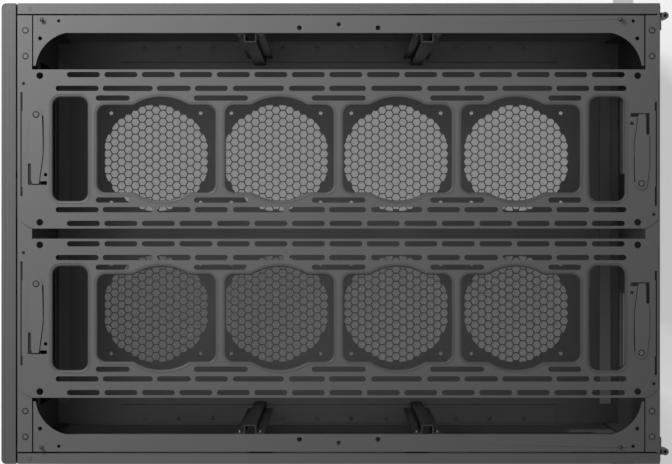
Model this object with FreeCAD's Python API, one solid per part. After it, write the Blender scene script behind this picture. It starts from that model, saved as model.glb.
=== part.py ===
import FreeCAD, Part
import math
import os
from FreeCAD import Vector

# Cube computer case, two chambers wide, with its top cover off and nothing built in.
# Millimetres. The front looks to -X, the rear to +X, left and right sides are +Y and -Y.
# Z is up and z = 0 is the surface that the feet stand on, under the middle of the plan.

# Frame
frame_length = 661.0
frame_width = 449.0
frame_top = 650.0
frame_bottom = 20.0
sheet = 1.5
floor_top = 40.0
flange_depth = 15.0
weld_gap = 0.6

# Top side rails
rail_width = 18.2
rail_web = 25.0
rail_lip = 14.0
gusset_radius = 39.5
gusset_inset_x = 42.0
gusset_inset_y = 38.6
gusset_land = 2.8
rail_tab = 26.0
rail_tab_height = 20.0
rail_hole_r = 1.6
rail_hole_row = 12.4
rail_hole_front = 42.6
rail_hole_rear = 27.6
middle_hole_row = 9.0
middle_hole_step = 3.6
middle_hole_pitch = 40.4
gusset_hole_inset = 23.3
gusset_hole_row = 5.6
stud_row = 13.6
stud_front = 25.3
stud_rear = 40.8
stud_r = 2.2
stud_neck_r = 1.2
stud_height = 7.0
stud_head = 4.0

# Radiator brackets
bracket_side_gap = 37.55
bracket_middle_gap = 10.5
bracket_end_gap = 2.0
bracket_sheet = 1.5
bracket_flange = 12.0
bracket_corner_x = 14.0
bracket_corner_y = 9.5
bracket_end_zone = 82.0
fan_pitch = 121.5
window_half_width = 56.5
window_edge = 36.05
window_corner = 9.0
window_bulge_rise = 8.3
end_reach = 10.5
end_window_inset = 33.2
end_window_width = 38.2
end_window_edge = 27.35
slot_height = 5.5
slot_end_margin = 32.0
row_a_edge = 5.25
row_a_margin = 36.0
row_a_offset = 7.3
row_a_pitch = 38.55
row_a_slot = 34.0
row_b_edge = 19.35
row_b_spans = [
    (-291.1, -246.8), (-242.7, -191.2), (-187.1, -152.1), (-148.0, -114.0), (-108.8, -56.3),
    (-51.2, -14.1), (-10.0, 28.1), (33.3, 85.8), (90.9, 124.9), (129.0, 164.0),
    (168.1, 219.6), (223.7, 257.7), (261.8, 295.8),
]
row_c_edge = 29.35
row_c_slot = 55.6
row_c_end_gap = 33.0
row_c_end_slot = 34.5
corner_hole_inset = 21.1
corner_hole_edge = 6.35
corner_hole_r = 3.5

# Latch levers
pivot_inset = 17.3
pivot_y = 35.5
pivot_r = 2.0
pivot_clearance = 0.05
pivot_head_r = 3.4
pivot_head = 1.2
pivot_nut_r = 2.9
lever_sheet = 1.5
lever_float = 0.3
lever_head_r = 6.2
lever_swell = 8.2
lever_swell_low = 20.2
lever_hip = 7.0
lever_hip_low = 24.3
lever_knee = 7.2
lever_knee_low = 40.4
lever_reach = 71.4
lever_tip = 3.0
lever_notch = 50.6
lever_notch_rise = 2.6
lever_notch_depth = 3.4
lever_tab_x0 = -3.6
lever_tab_x1 = 2.6
lever_tab_drop = 6.0
latch_slot_end = 11.2
latch_slot_width = 3.7
latch_leg_x = 8.4

# Floor pan, vents and filters
pan_rim = 18.0
vent_pitch = 141.0
vent_row = 88.7
vent_end_zone = 46.0
vent_radius = 60.0
vent_hole = 30.0
vent_web = 6.0
fan_screw_pitch = 105.0
fan_screw_r = 2.2
filter_border = 10.0
filter_frame = 4.0
filter_mesh = 0.6
filter_width = 160.0
filter_end = 12.0
filter_bar = 5.0
filter_gap = 0.3

# Floor rails and side struts
floor_rail_side = 13.5
floor_rail_width = 20.0
floor_rail_height = 15.0
floor_rail_inset = 75.5
floor_rail_hole_r = 2.6
floor_rail_hole_y = 5.5
floor_rail_pitch = 40.35
floor_rail_first = 28.5
strut_x = 91.2
strut_crown = 13.0
strut_ear = 8.2
strut_depth = 9.5
strut_top_gap = 4.0
strut_screw_r = 2.6
strut_screw_head = 2.5

# Front and rear walls
front_window_inner = 20.0
front_window_side = 34.5
front_window_floor = 35.0
front_window_drop = 25.0
front_window_bar = 30.0
flange_screw_inset = 6.8
flange_screw_outer = 15.5
flange_screw_pitch = 26.5
flange_screw_r = 3.2
flange_screw_head = 0.6
board_y = 12.0
io_height = 158.8
io_width = 44.5
io_drop = 188.0
slot_gap = 14.0
slot_pitch = 20.32
slot_opening = 14.0
slot_length = 104.0
slot_margin = 50.0
slot_cover_lead = 6.0
slot_cover_width = 18.4
slot_cover_length = 118.0
slot_cover_sheet = 1.0
thumb_r = 3.0
thumb_head = 3.0
psu_width = 86.0
psu_height = 150.0
psu_y = 112.0
psu_floor = 26.0
psu_rim = 12.0
psu_sheet = 2.0
exhaust_side = 69.2
exhaust_drop = 109.0

# Doors and hinges
door_gap = 1.6
door_depth = 11.0
door_low_gap = 4.0
door_top_gap = 1.0
door_border = 42.0
door_window_corner = 14.0
pane_sheet = 3.0
pane_lap = 12.0
pull_height = 70.0
pull_depth = 9.0
magnet_height = 30.0
magnet_width = 12.0
magnet_gap = 0.3
magnet_floor = 110.0
magnet_drop = 130.0
hinge_offset = 5.5
knuckle_r = 3.7
hinge_pin_r = 1.9
hinge_clearance = 0.05
hinge_leaf = 1.5
hinge_leaf_length = 13.0
hinge_arm = 1.8
knuckle_gap = 0.4
pin_recess = 0.5
fixed_knuckle = 12.0
door_knuckle = 20.0
hinge_top_gap = 2.0
hinge_low_gap = 14.0

# Front bezel
bezel_depth = 14.8
bezel_gap = 1.7
bezel_skin = 3.0
bezel_corner = 5.0
bezel_inner = 60.0
bezel_stile = 25.1
bezel_foot = 24.0
bezel_head = 22.0
clip_size = 10.0
clip_inset = 40.0
bay_count = 3
bay_height = 42.0
bay_gap = 1.2
bay_sheet = 2.5
bay_grip = 60.0
bay_grip_height = 8.0
mesh_sheet = 1.2
mesh_columns = 3
mesh_rows = 7
mesh_web = 6.0
mesh_border = 9.0
io_panel_width = 90.0
io_panel_height = 60.0
io_panel_drop = 90.0
io_recess = 1.8
fit_gap = 0.3
power_width = 22.0
reset_width = 10.0
button_height = 9.0
button_length = 8.0
button_proud = 1.4
button_places = {
    "power_button_left": (29.0, 15.0, power_width),
    "power_button_right": (-29.0, 15.0, power_width),
    "reset_button_left": (9.0, 15.0, reset_width),
    "reset_button_right": (-9.0, 15.0, reset_width),
}
usb_width = 13.2
usb_height = 5.8
usb_wall = 0.5
usb_places = [(-40.0, -12.0), (-23.0, -12.0), (-6.0, -12.0), (11.0, -12.0)]
usb_depth = 7.0
usb_lap = 0.4
usb_tongue_inset = 1.2
jack_r = 3.6
jack_bore = 1.8
jack_places = [(34.0, -8.0), (34.0, -18.0)]

# Feet
foot_r = 20.0
foot_end = 23.5
foot_side = 30.5
pad_height = 4.0
pad_r = 16.5

# Places worked out from the sizes above
front = -frame_length / 2
rear = frame_length / 2
side = frame_width / 2
rail_inner = side - rail_width
rail_end = rear - flange_depth - weld_gap
bracket_top = frame_top + bracket_sheet
bracket_width = rail_inner - bracket_side_gap - bracket_middle_gap / 2
bracket_length = frame_length - 2 * bracket_end_gap
bracket_pitch = bracket_width + bracket_middle_gap
half_bracket = bracket_width / 2
fan_count = int((bracket_length - 2 * bracket_end_zone) / fan_pitch)
window_half_height = half_bracket - window_edge
window_bulge = window_half_height + window_bulge_rise
row_a_count = int((bracket_length - 2 * row_a_margin) / row_a_pitch)
pivot_x = bracket_length / 2 - pivot_inset
vent_count = int((frame_length - 2 * vent_end_zone) / vent_pitch)
filter_length = (vent_count - 1) * vent_pitch + 2 * (vent_radius + filter_end)
floor_rail_y = side - floor_rail_side
floor_rail_length = frame_length - 2 * floor_rail_inset
floor_rail_holes = int((floor_rail_length - 2 * floor_rail_first) / floor_rail_pitch) + 1
foot_x = rear - foot_end
foot_y = side - foot_side
front_window_outer = side - front_window_side
front_window_low = floor_top + front_window_floor
front_window_high = frame_top - front_window_drop
psu_low = floor_top + psu_floor
psu_high = psu_low + psu_height
io_low = frame_top - io_drop
slot_top = io_low - slot_gap
slot_cover_start = board_y - slot_cover_lead
slot_count = int((slot_top - psu_high - psu_rim - slot_margin) / slot_pitch)
exhaust_y = side - exhaust_side
exhaust_z = frame_top - exhaust_drop
door_inner = side + door_gap
door_outer = door_inner + door_depth
door_low = frame_bottom + door_low_gap
door_high = frame_top - door_top_gap
hinge_x = rear + hinge_offset
hinge_low = frame_bottom + hinge_low_gap
hinge_top = frame_top - hinge_top_gap
bezel_back = front - bezel_gap
bezel_front = bezel_back - bezel_depth
bezel_width = 2 * door_outer
bezel_outer = bezel_width / 2 - bezel_stile
bezel_low = frame_bottom + bezel_foot
bezel_high = frame_top - bezel_head
io_front = bezel_front + io_recess
io_panel_low = frame_top - io_panel_drop
io_centre = io_panel_low + io_panel_height / 2
plan_shift = -(bezel_front + hinge_x + knuckle_r) / 2


def block(x0, x1, y0, y1, z0, z1):
    """A block between two corners."""
    return Part.makeBox(x1 - x0, y1 - y0, z1 - z0, Vector(x0, y0, z0))


def rod(x, y, z0, z1, radius):
    """A round bar that stands along Z."""
    return Part.makeCylinder(radius, z1 - z0, Vector(x, y, z0))


def rod_x(x0, x1, y, z, radius):
    """A round bar that lies along X."""
    return Part.makeCylinder(radius, x1 - x0, Vector(x0, y, z), Vector(1, 0, 0))


def stub(x, y, z0, z1, radius):
    """A small head or boss that stands along Z, with eight sides."""
    return pierced(octagon(x, y, radius), [], z0, z1)


def stub_x(x0, x1, y, z, radius):
    """A small screw head that lies along X."""
    return upright(hexagon(y, z, 2 * radius), [], x0, x1)


def stub_y(y0, y1, x, z, radius):
    """A small screw head that lies along Y."""
    return sideways(hexagon(x, z, 2 * radius), [], y0, y1)


def other_side(shape):
    """The left side's shape, on the right side."""
    return shape.mirror(Vector(0, 0, 0), Vector(0, 1, 0))


def other_end(shape):
    """The front end's shape, at the rear end."""
    return shape.mirror(Vector(0, 0, 0), Vector(1, 0, 0))


def fused(shapes):
    """One solid out of touching ones, without the seams between level faces."""
    return shapes[0].fuse(shapes[1:]).removeSplitter()


def polygon(points):
    """A closed wire through points in the plan."""
    corners = [Vector(x, y, 0) for x, y in points]
    return Part.makePolygon(corners + corners[:1])


def rectangle(x0, x1, y0, y1):
    """A rectangle in the plan."""
    return polygon([(x0, y0), (x1, y0), (x1, y1), (x0, y1)])


def rounded_rectangle(x0, x1, y0, y1, radius):
    """A rectangle in the plan with round corners."""
    diagonal = radius * (1 - math.sqrt(0.5))
    bottom_left = Part.Arc(Vector(x0, y0 + radius, 0), Vector(x0 + diagonal, y0 + diagonal, 0),
                           Vector(x0 + radius, y0, 0))
    bottom_right = Part.Arc(Vector(x1 - radius, y0, 0), Vector(x1 - diagonal, y0 + diagonal, 0),
                            Vector(x1, y0 + radius, 0))
    top_right = Part.Arc(Vector(x1, y1 - radius, 0), Vector(x1 - diagonal, y1 - diagonal, 0),
                         Vector(x1 - radius, y1, 0))
    top_left = Part.Arc(Vector(x0 + radius, y1, 0), Vector(x0 + diagonal, y1 - diagonal, 0),
                        Vector(x0, y1 - radius, 0))
    return joined([bottom_left, bottom_right, top_right, top_left])


def joined(arcs):
    """A closed wire of arcs, with a straight line from each one to the next."""
    edges = []
    for arc, following in zip(arcs, arcs[1:] + arcs[:1]):
        edges.append(arc.toShape())
        if arc.EndPoint.distanceToPoint(following.StartPoint) > 1e-6:
            edges.append(Part.LineSegment(arc.EndPoint, following.StartPoint).toShape())
    return Part.Wire(edges)


def slot(x0, x1, y, height):
    """A slot in the plan, its ends rounded off by two short edges each."""
    half = height / 2
    cut = half * 0.58
    return polygon([
        (x0 + cut, y - half), (x1 - cut, y - half), (x1, y - half + cut), (x1, y + half - cut),
        (x1 - cut, y + half), (x0 + cut, y + half), (x0, y + half - cut), (x0, y - half + cut),
    ])


def circle(x, y, radius):
    """A round wire in the plan."""
    return Part.Wire([Part.makeCircle(radius, Vector(x, y, 0))])


def octagon(x, y, radius):
    """A small round hole or head, drawn with eight equal sides."""
    reach = radius / math.cos(math.pi / 8)
    angles = [math.pi / 8 + math.pi / 4 * k for k in range(8)]
    return polygon([(x + reach * math.cos(a), y + reach * math.sin(a)) for a in angles])


def hexagon(x, y, across_flats):
    """A hexagon with corners to its left and right."""
    reach = across_flats / math.sqrt(3)
    angles = [math.radians(60 * k) for k in range(6)]
    return polygon([(x + reach * math.cos(a), y + reach * math.sin(a)) for a in angles])


def honeycomb(x, y, radius, hole, web):
    """The hexagons of one round vent, in staggered columns, each whole and inside the circle."""
    row_pitch = hole + web
    column_pitch = row_pitch * math.sqrt(3) / 2
    reach = hole / math.sqrt(3)
    columns = int(radius / column_pitch) + 1
    rows = int(radius / row_pitch) + 1
    wires = []
    for column in range(-columns, columns + 1):
        for row in range(-rows, rows + 1):
            dx = column * column_pitch
            dy = (row + 0.5 * (column % 2)) * row_pitch
            if math.hypot(dx, dy) + reach <= radius:
                wires.append(hexagon(x + dx, y + dy, hole))
    return wires


def pierced(outline, holes, z0, z1):
    """A flat sheet between two heights, with its holes stamped out."""
    face = Part.makeFace([outline] + holes, "Part::FaceMakerBullseye")
    face.translate(Vector(0, 0, z0))
    return face.extrude(Vector(0, 0, z1 - z0))


def upright(outline, holes, x0, x1):
    """A sheet that stands across the case: its plan is (Y, Z), its thickness runs along X."""
    face = Part.makeFace([outline] + holes, "Part::FaceMakerBullseye")
    solid = face.extrude(Vector(0, 0, x1 - x0))
    return placed(solid, FreeCAD.Matrix(0, 0, 1, x0, 1, 0, 0, 0, 0, 1, 0, 0, 0, 0, 0, 1))


def placed(solid, matrix):
    """The solid moved by a rotation and a shift."""
    copy = solid.copy()
    copy.Placement = FreeCAD.Placement(matrix).multiply(solid.Placement)
    return copy


def sideways(outline, holes, y0, y1):
    """A sheet that stands along the case: its plan is (X, Z), its thickness runs along Y."""
    face = Part.makeFace([outline] + holes, "Part::FaceMakerBullseye")
    solid = face.extrude(Vector(0, 0, y1 - y0))
    return placed(solid, FreeCAD.Matrix(1, 0, 0, 0, 0, 0, -1, y1, 0, 1, 0, 0, 0, 0, 0, 1))


def write(name, shape):
    """One node of the model, moved so that the origin lies under the middle of the whole plan."""
    shape.translate(Vector(plan_shift, 0, 0))
    shape.exportStep(os.path.join("parts", name + ".step"))


def write_group(name, shapes):
    """One node that holds several separate solids."""
    write(name, Part.makeCompound(shapes))


def front_wall():
    """The front sheet: a tray with a top flange, side returns and four fan openings."""
    middle = (front_window_low + front_window_high) / 2
    levels = [(front_window_low, middle - front_window_bar / 2),
              (middle + front_window_bar / 2, front_window_high)]
    windows = []
    for low, high in levels:
        windows.append(rectangle(front_window_inner, front_window_outer, low, high))
        windows.append(rectangle(-front_window_outer, -front_window_inner, low, high))
    outline = rectangle(-side, side, frame_bottom, frame_top)
    wall = upright(outline, windows, front, front + sheet)
    return fused([wall] + wall_edges(front, front + flange_depth))


def wall_edges(x0, x1):
    """The top flange and the two side returns of an end wall."""
    top = block(x0, x1, -side, side, frame_top - sheet, frame_top)
    left = block(x0, x1, side - sheet, side, frame_bottom, frame_top)
    right = block(x0, x1, -side, -side + sheet, frame_bottom, frame_top)
    return [top, left, right]


def slot_levels():
    """The middle height of each expansion slot, from the top one down."""
    return [slot_top - (k + 0.5) * slot_pitch for k in range(slot_count)]


def rear_cut_outs(hand):
    """The rear wall's openings for one chamber. hand is 1 on the left and -1 on the right."""
    cuts = []
    inner = board_y
    cuts.append(sided(inner, inner + io_width, io_low, io_low + io_height, hand))
    for level in slot_levels():
        half = slot_opening / 2
        cuts.append(sided(inner, inner + slot_length, level - half, level + half, hand))
    half = psu_width / 2
    cuts.append(sided(psu_y - half, psu_y + half, psu_low, psu_low + psu_height, hand))
    cuts += honeycomb(hand * exhaust_y, exhaust_z, vent_radius, vent_hole, vent_web)
    half_pitch = fan_screw_pitch / 2
    for dy in (-half_pitch, half_pitch):
        for dz in (-half_pitch, half_pitch):
            cuts.append(circle(hand * exhaust_y + dy, exhaust_z + dz, fan_screw_r))
    return cuts


def sided(y0, y1, z0, z1, hand):
    """An opening on the left, or its mirror image on the right."""
    low, high = sorted((hand * y0, hand * y1))
    return rectangle(low, high, z0, z1)


def rear_wall():
    """The rear sheet: a tray with a top flange, side returns and the openings of both chambers."""
    outline = rectangle(-side, side, frame_bottom, frame_top)
    wall = upright(outline, rear_cut_outs(1) + rear_cut_outs(-1), rear - sheet, rear)
    return fused([wall] + wall_edges(rear - flange_depth, rear))


def gusset_arc():
    """The hollow edge of a gusset, from the rail to the end flange: its two ends and its middle."""
    centre = Vector(rail_end - gusset_inset_x, rail_inner - gusset_inset_y, 0)
    rise = gusset_inset_y
    start = centre + Vector(math.sqrt(gusset_radius ** 2 - rise ** 2), rise, 0)
    run = gusset_inset_x - gusset_land
    end = centre + Vector(run, math.sqrt(gusset_radius ** 2 - run ** 2), 0)
    toward = start + end - centre * 2
    toward.normalize()
    return start, centre + toward * gusset_radius, end


def gusset():
    """The curved corner plate of a rail, at its rear end."""
    start, middle, end = gusset_arc()
    outer = Vector(rail_end, start.y, 0)
    foot = Vector(rail_end, end.y, 0)
    edges = [Part.Arc(start, middle, end).toShape()]
    for first, second in ((end, foot), (foot, outer), (outer, start)):
        edges.append(Part.LineSegment(first, second).toShape())
    face = Part.Face(Part.Wire(edges))
    face.translate(Vector(0, 0, frame_top - sheet))
    return face.extrude(Vector(0, 0, sheet))


def top_rail():
    """The left top rail: a channel with a gusset and a welded tab at each end."""
    top = block(-rail_end, rail_end, rail_inner, side, frame_top - sheet, frame_top)
    web = block(-rail_end, rail_end, side - sheet, side, frame_top - rail_web, frame_top)
    lip = block(-rail_end, rail_end, rail_inner, rail_inner + sheet, frame_top - rail_lip, frame_top)
    parts = [top, web, lip, gusset(), other_end(gusset())]
    tab_top = frame_top - 2 * sheet
    tab = block(rail_end - rail_tab, rear - 2 * sheet, side - 2 * sheet, side - sheet,
                tab_top - rail_tab_height, tab_top)
    parts += [tab, other_end(tab)]
    rail = fused(parts)
    holes = [stub(x, rail_inner + y, frame_top - rail_web, frame_top + 1, rail_hole_r)
             for x, y in rail_hole_places()]
    return rail.cut(Part.makeCompound(holes))


def rail_hole_places():
    """The small holes of a top rail: two near each end and three in the middle."""
    places = [(front + rail_hole_front, rail_hole_row), (rear - rail_hole_rear, rail_hole_row)]
    places += [(x, -gusset_hole_row) for x in (front + gusset_hole_inset, rear - gusset_hole_inset)]
    for k in (-1, 0, 1):
        places.append((k * middle_hole_pitch, middle_hole_row - abs(k) * middle_hole_step))
    return places


def ball_stud(x, y):
    """A stud with a wide head that the top cover would snap onto."""
    head_z = frame_top + stud_height - stud_head
    return fused([stub(x, y, frame_top, head_z, stud_neck_r), stub(x, y, head_z, frame_top + stud_height, stud_r)])


def ball_studs():
    """The four studs, two on each top rail."""
    y = rail_inner + stud_row
    left = [ball_stud(front + stud_front, y), ball_stud(rear - stud_rear, y)]
    return left + [other_side(stud) for stud in left]


def strut(x):
    """A side post of folded sheet, from the floor rail to the lip of the left top rail."""
    face = rail_inner
    low = floor_top + floor_rail_height
    high = frame_top - strut_top_gap
    crown = block(x - strut_crown / 2, x + strut_crown / 2, face - strut_depth, face - strut_depth + sheet,
                  low, high)
    parts = [crown]
    for hand in (-1, 1):
        edge = x + hand * strut_crown / 2
        wall = sorted((edge, edge - hand * sheet))
        ear = sorted((edge - hand * sheet, edge + hand * strut_ear))
        parts.append(block(wall[0], wall[1], face - strut_depth, face, low, high))
        parts.append(block(ear[0], ear[1], face - sheet, face, low, high))
    return fused(parts)


def strut_screws():
    """The screws that hold the struts to the top rails, two to a strut."""
    face = rail_inner - sheet
    level = frame_top - rail_lip / 2 - strut_top_gap / 2
    screws = []
    for x in (-strut_x, strut_x):
        for hand in (-1, 1):
            middle = x + hand * (strut_crown + strut_ear) / 2
            screws.append(stub_y(face - strut_screw_head, face, middle, level, strut_screw_r))
    return screws + [other_side(screw) for screw in screws]


def floor_rail():
    """The left floor rail: an upturned channel with a row of holes in its top."""
    half = floor_rail_width / 2
    low = floor_top
    high = floor_top + floor_rail_height
    end = floor_rail_length / 2
    top = block(-end, end, floor_rail_y - half, floor_rail_y + half, high - sheet, high)
    inner = block(-end, end, floor_rail_y - half, floor_rail_y - half + sheet, low, high)
    outer = block(-end, end, floor_rail_y + half - sheet, floor_rail_y + half, low, high)
    rail = fused([top, inner, outer])
    holes = []
    for k in range(floor_rail_holes):
        x = floor_rail_first - end + k * floor_rail_pitch
        y = floor_rail_y + floor_rail_hole_y
        holes.append(pierced(hexagon(x, y, 2 * floor_rail_hole_r), [], high - 2 * sheet, high + 1))
    return rail.cut(Part.makeCompound(holes))


def vent_centres():
    """The middle of each floor vent."""
    first = -(vent_count - 1) / 2 * vent_pitch
    return [(first + k * vent_pitch, y) for y in (-vent_row, vent_row) for k in range(vent_count)]


def floor_pan():
    """The floor: a flat plate with turned-down rims, eight honeycomb vents and their fan screw holes."""
    reach_x = rear - sheet
    reach_y = side - sheet
    holes = []
    half = fan_screw_pitch / 2
    for x, y in vent_centres():
        holes += honeycomb(x, y, vent_radius, vent_hole, vent_web)
        for dx in (-half, half):
            for dy in (-half, half):
                holes.append(octagon(x + dx, y + dy, fan_screw_r))
    outline = rectangle(-reach_x, reach_x, -reach_y, reach_y)
    plate = pierced(outline, holes, floor_top - sheet, floor_top)
    low = floor_top - pan_rim
    rims = [
        block(-reach_x, -reach_x + sheet, -reach_y, reach_y, low, floor_top - sheet / 2),
        block(reach_x - sheet, reach_x, -reach_y, reach_y, low, floor_top - sheet / 2),
        block(-reach_x, reach_x, -reach_y, -reach_y + sheet, low, floor_top - sheet / 2),
        block(-reach_x, reach_x, reach_y - sheet, reach_y, low, floor_top - sheet / 2),
    ]
    return fused([plate] + rims)


def dust_filter(y):
    """A filter that slides in under a row of floor vents: a frame with a fine mesh across it."""
    half_x = filter_length / 2
    half_y = filter_width / 2
    high = floor_top - sheet - filter_gap
    low = high - filter_frame
    outline = rectangle(-half_x, half_x, y - half_y, y + half_y)
    inside_x = half_x - filter_border
    inside_y = half_y - filter_border
    opening = rectangle(-inside_x, inside_x, y - inside_y, y + inside_y)
    frame = pierced(outline, [opening], low, high)
    bars = []
    for k in range(1, vent_count):
        x = (k - vent_count / 2) * vent_pitch
        bars.append(block(x - filter_bar / 2, x + filter_bar / 2, y - inside_y, y + inside_y, low, high))
    middle = (low + high) / 2
    mesh = block(-inside_x, inside_x, y - inside_y, y + inside_y, middle - filter_mesh / 2,
                 middle + filter_mesh / 2)
    return fused([frame, mesh] + bars)


def feet():
    """The four round feet under the corners of the floor."""
    solids = []
    for x in (-foot_x, foot_x):
        for y in (-foot_y, foot_y):
            solids.append(rod(x, y, pad_height, floor_top - sheet, foot_r))
    return solids


def foot_pads():
    """The soft pads under the feet."""
    return [rod(x, y, 0, pad_height, pad_r) for x in (-foot_x, foot_x) for y in (-foot_y, foot_y)]


def window(x, reach_left, reach_right):
    """A fan opening of a bracket: a rounded rectangle that bulges at the top and bottom."""
    height = window_half_height
    left = -window_half_width - reach_left
    right = window_half_width + reach_right
    corner = window_corner
    drop = corner * (1 - math.sqrt(0.5))
    chord = math.sqrt(window_bulge ** 2 - height ** 2)
    points = [
        [(right, height - corner), (right - drop, height - drop), (right - corner, height)],
        [(chord, height), (0, window_bulge), (-chord, height)],
        [(left + corner, height), (left + drop, height - drop), (left, height - corner)],
        [(left, -height + corner), (left + drop, -height + drop), (left + corner, -height)],
        [(-chord, -height), (0, -window_bulge), (chord, -height)],
        [(right - corner, -height), (right - drop, -height + drop), (right, -height + corner)],
    ]
    arcs = [Part.Arc(*[Vector(x + px, py, 0) for px, py in trio]) for trio in points]
    return joined(arcs)


def bracket_outline():
    """The outer edge of a bracket, with cut corners."""
    half_x = bracket_length / 2
    half_y = bracket_width / 2
    cut_x = half_x - bracket_corner_x
    cut_y = half_y - bracket_corner_y
    return polygon([
        (-cut_x, -half_y), (cut_x, -half_y), (half_x, -cut_y), (half_x, cut_y),
        (cut_x, half_y), (-cut_x, half_y), (-half_x, cut_y), (-half_x, -cut_y),
    ])


def bracket_slots():
    """The three rows of screw slots on each long side of a bracket."""
    spans = []
    first = row_a_offset - (row_a_count - 1) / 2 * row_a_pitch
    for k in range(row_a_count):
        middle = first + k * row_a_pitch
        spans.append((middle - row_a_slot / 2, middle + row_a_slot / 2, half_bracket - row_a_edge))
    reach = bracket_length / 2 - slot_end_margin
    row_b = [(x0, x1, half_bracket - row_b_edge) for x0, x1 in row_b_spans]
    spans += [span for span in row_b if -reach <= span[0] and span[1] <= reach]
    spans += row_c()
    slots = [slot(x0, x1, y, slot_height) for x0, x1, y in spans]
    return slots + [slot(x0, x1, -y, slot_height) for x0, x1, y in spans]


def row_c():
    """The slots between the fan openings' bulges, and one beside each end fan."""
    y = half_bracket - row_c_edge
    last = fan_middle(fan_count - 1) + row_c_end_gap
    spans = [(-last - row_c_end_slot, -last, y), (last, last + row_c_end_slot, y)]
    for k in range(fan_count - 1):
        middle = (fan_middle(k) + fan_middle(k + 1)) / 2
        spans.append((middle - row_c_slot / 2, middle + row_c_slot / 2, y))
    return spans


def fan_middle(k):
    """The middle of a bracket's fan opening, counted from the front."""
    return (k - (fan_count - 1) / 2) * fan_pitch


def latch_cuts(hand):
    """The holes of one latch: its pivot, its leg slot and the slot that its tab runs in.

    hand is -1 at the front end and 1 at the rear end, which is the front end turned half round.
    """
    low = pivot_y - lever_reach - latch_slot_width / 2 + lever_sheet / 2
    high = low + latch_slot_width
    leg_low = pivot_y - lever_notch
    points = [
        (-latch_leg_x, leg_low), (-latch_leg_x, low), (latch_slot_end, low), (latch_slot_end, high),
        (-latch_leg_x + lever_notch_depth, high), (-latch_leg_x + lever_notch_depth, leg_low),
    ]
    outline = polygon([(-hand * (x - pivot_x), -hand * y) for x, y in points])
    return [circle(hand * pivot_x, -hand * pivot_y, pivot_r + pivot_clearance), outline]


def bracket():
    """A radiator bracket about its own middle: a sheet with fan openings, slots and turned-down edges."""
    holes = []
    for k in range(fan_count):
        reach_left = end_reach if k == 0 else 0
        reach_right = end_reach if k == fan_count - 1 else 0
        holes.append(window(fan_middle(k), reach_left, reach_right))
    outer = bracket_length / 2 - end_window_inset
    half_y = half_bracket - end_window_edge
    for x0, x1 in ((-outer, -outer + end_window_width), (outer - end_window_width, outer)):
        holes.append(rounded_rectangle(x0, x1, -half_y, half_y, window_corner))
    corner_x = bracket_length / 2 - corner_hole_inset
    corner_y = half_bracket - corner_hole_edge
    for x in (-corner_x, corner_x):
        for y in (-corner_y, corner_y):
            holes.append(octagon(x, y, corner_hole_r))
    holes += bracket_slots() + latch_cuts(-1) + latch_cuts(1)
    plate = pierced(bracket_outline(), holes, frame_top, bracket_top)
    reach = rail_end - weld_gap
    edge = half_bracket
    low = frame_top - bracket_flange
    flanges = [
        block(-reach, reach, edge - bracket_sheet, edge, low, bracket_top - bracket_sheet / 2),
        block(-reach, reach, -edge, -edge + bracket_sheet, low, bracket_top - bracket_sheet / 2),
    ]
    return fused([plate] + flanges)


def lever():
    """A latch lever about its pivot, at the front end: a flat arm with a tab bent down at its tip."""
    low = bracket_top + lever_float
    high = low + lever_sheet
    head = lever_head_r
    points = [
        (-head, 0), (-lever_swell, -lever_swell_low), (-lever_swell, lever_notch_rise - lever_notch),
        (-lever_swell + lever_notch_depth, -lever_notch), (lever_tab_x0, -lever_reach),
        (lever_tip, -lever_reach), (lever_knee, -lever_knee_low), (lever_hip, -lever_hip_low), (head, 0),
    ]
    edges = [Part.LineSegment(Vector(a[0], a[1], 0), Vector(b[0], b[1], 0)).toShape()
             for a, b in zip(points[:-1], points[1:])]
    edges.append(Part.Arc(Vector(head, 0, 0), Vector(0, head, 0), Vector(-head, 0, 0)).toShape())
    arm = pierced(Part.Wire(edges), [circle(0, 0, pivot_r + pivot_clearance)], low, high)
    tab = block(lever_tab_x0, lever_tab_x1, -lever_reach, -lever_reach + lever_sheet,
                frame_top - lever_tab_drop, high)
    return fused([arm, tab])


def lever_pivot():
    """A lever's shouldered screw about its axis: head, shank and the nut under the bracket."""
    arm_top = bracket_top + lever_float + lever_sheet
    shank = rod(0, 0, frame_top - 3 * bracket_sheet, arm_top + fit_gap, pivot_r)
    head = stub(0, 0, arm_top + fit_gap, arm_top + fit_gap + pivot_head, pivot_head_r)
    collar = stub(0, 0, frame_top - 3 * bracket_sheet, frame_top, pivot_nut_r)
    return fused([shank, head, collar])


def at_latches(shape, centre_y):
    """Copies of a latch piece for both ends of the bracket at centre_y, the front one first."""
    front_piece = shape.copy()
    front_piece.translate(Vector(-pivot_x, pivot_y + centre_y, 0))
    rear_piece = shape.copy()
    rear_piece.rotate(Vector(0, 0, 0), Vector(0, 0, 1), 180)
    rear_piece.translate(Vector(pivot_x, -pivot_y + centre_y, 0))
    return [front_piece, rear_piece]


def flange_screws():
    """The countersunk screws in the top flanges of the end walls."""
    x = rear - flange_depth + flange_screw_inset
    screws = []
    outer = side - flange_screw_outer
    for y in (outer - flange_screw_pitch, outer):
        for sx in (-1, 1):
            for sy in (-1, 1):
                plan = hexagon(sx * x, sy * y, 2 * flange_screw_r)
                screws.append(pierced(plan, [], frame_top, frame_top + flange_screw_head))
    return screws


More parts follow.
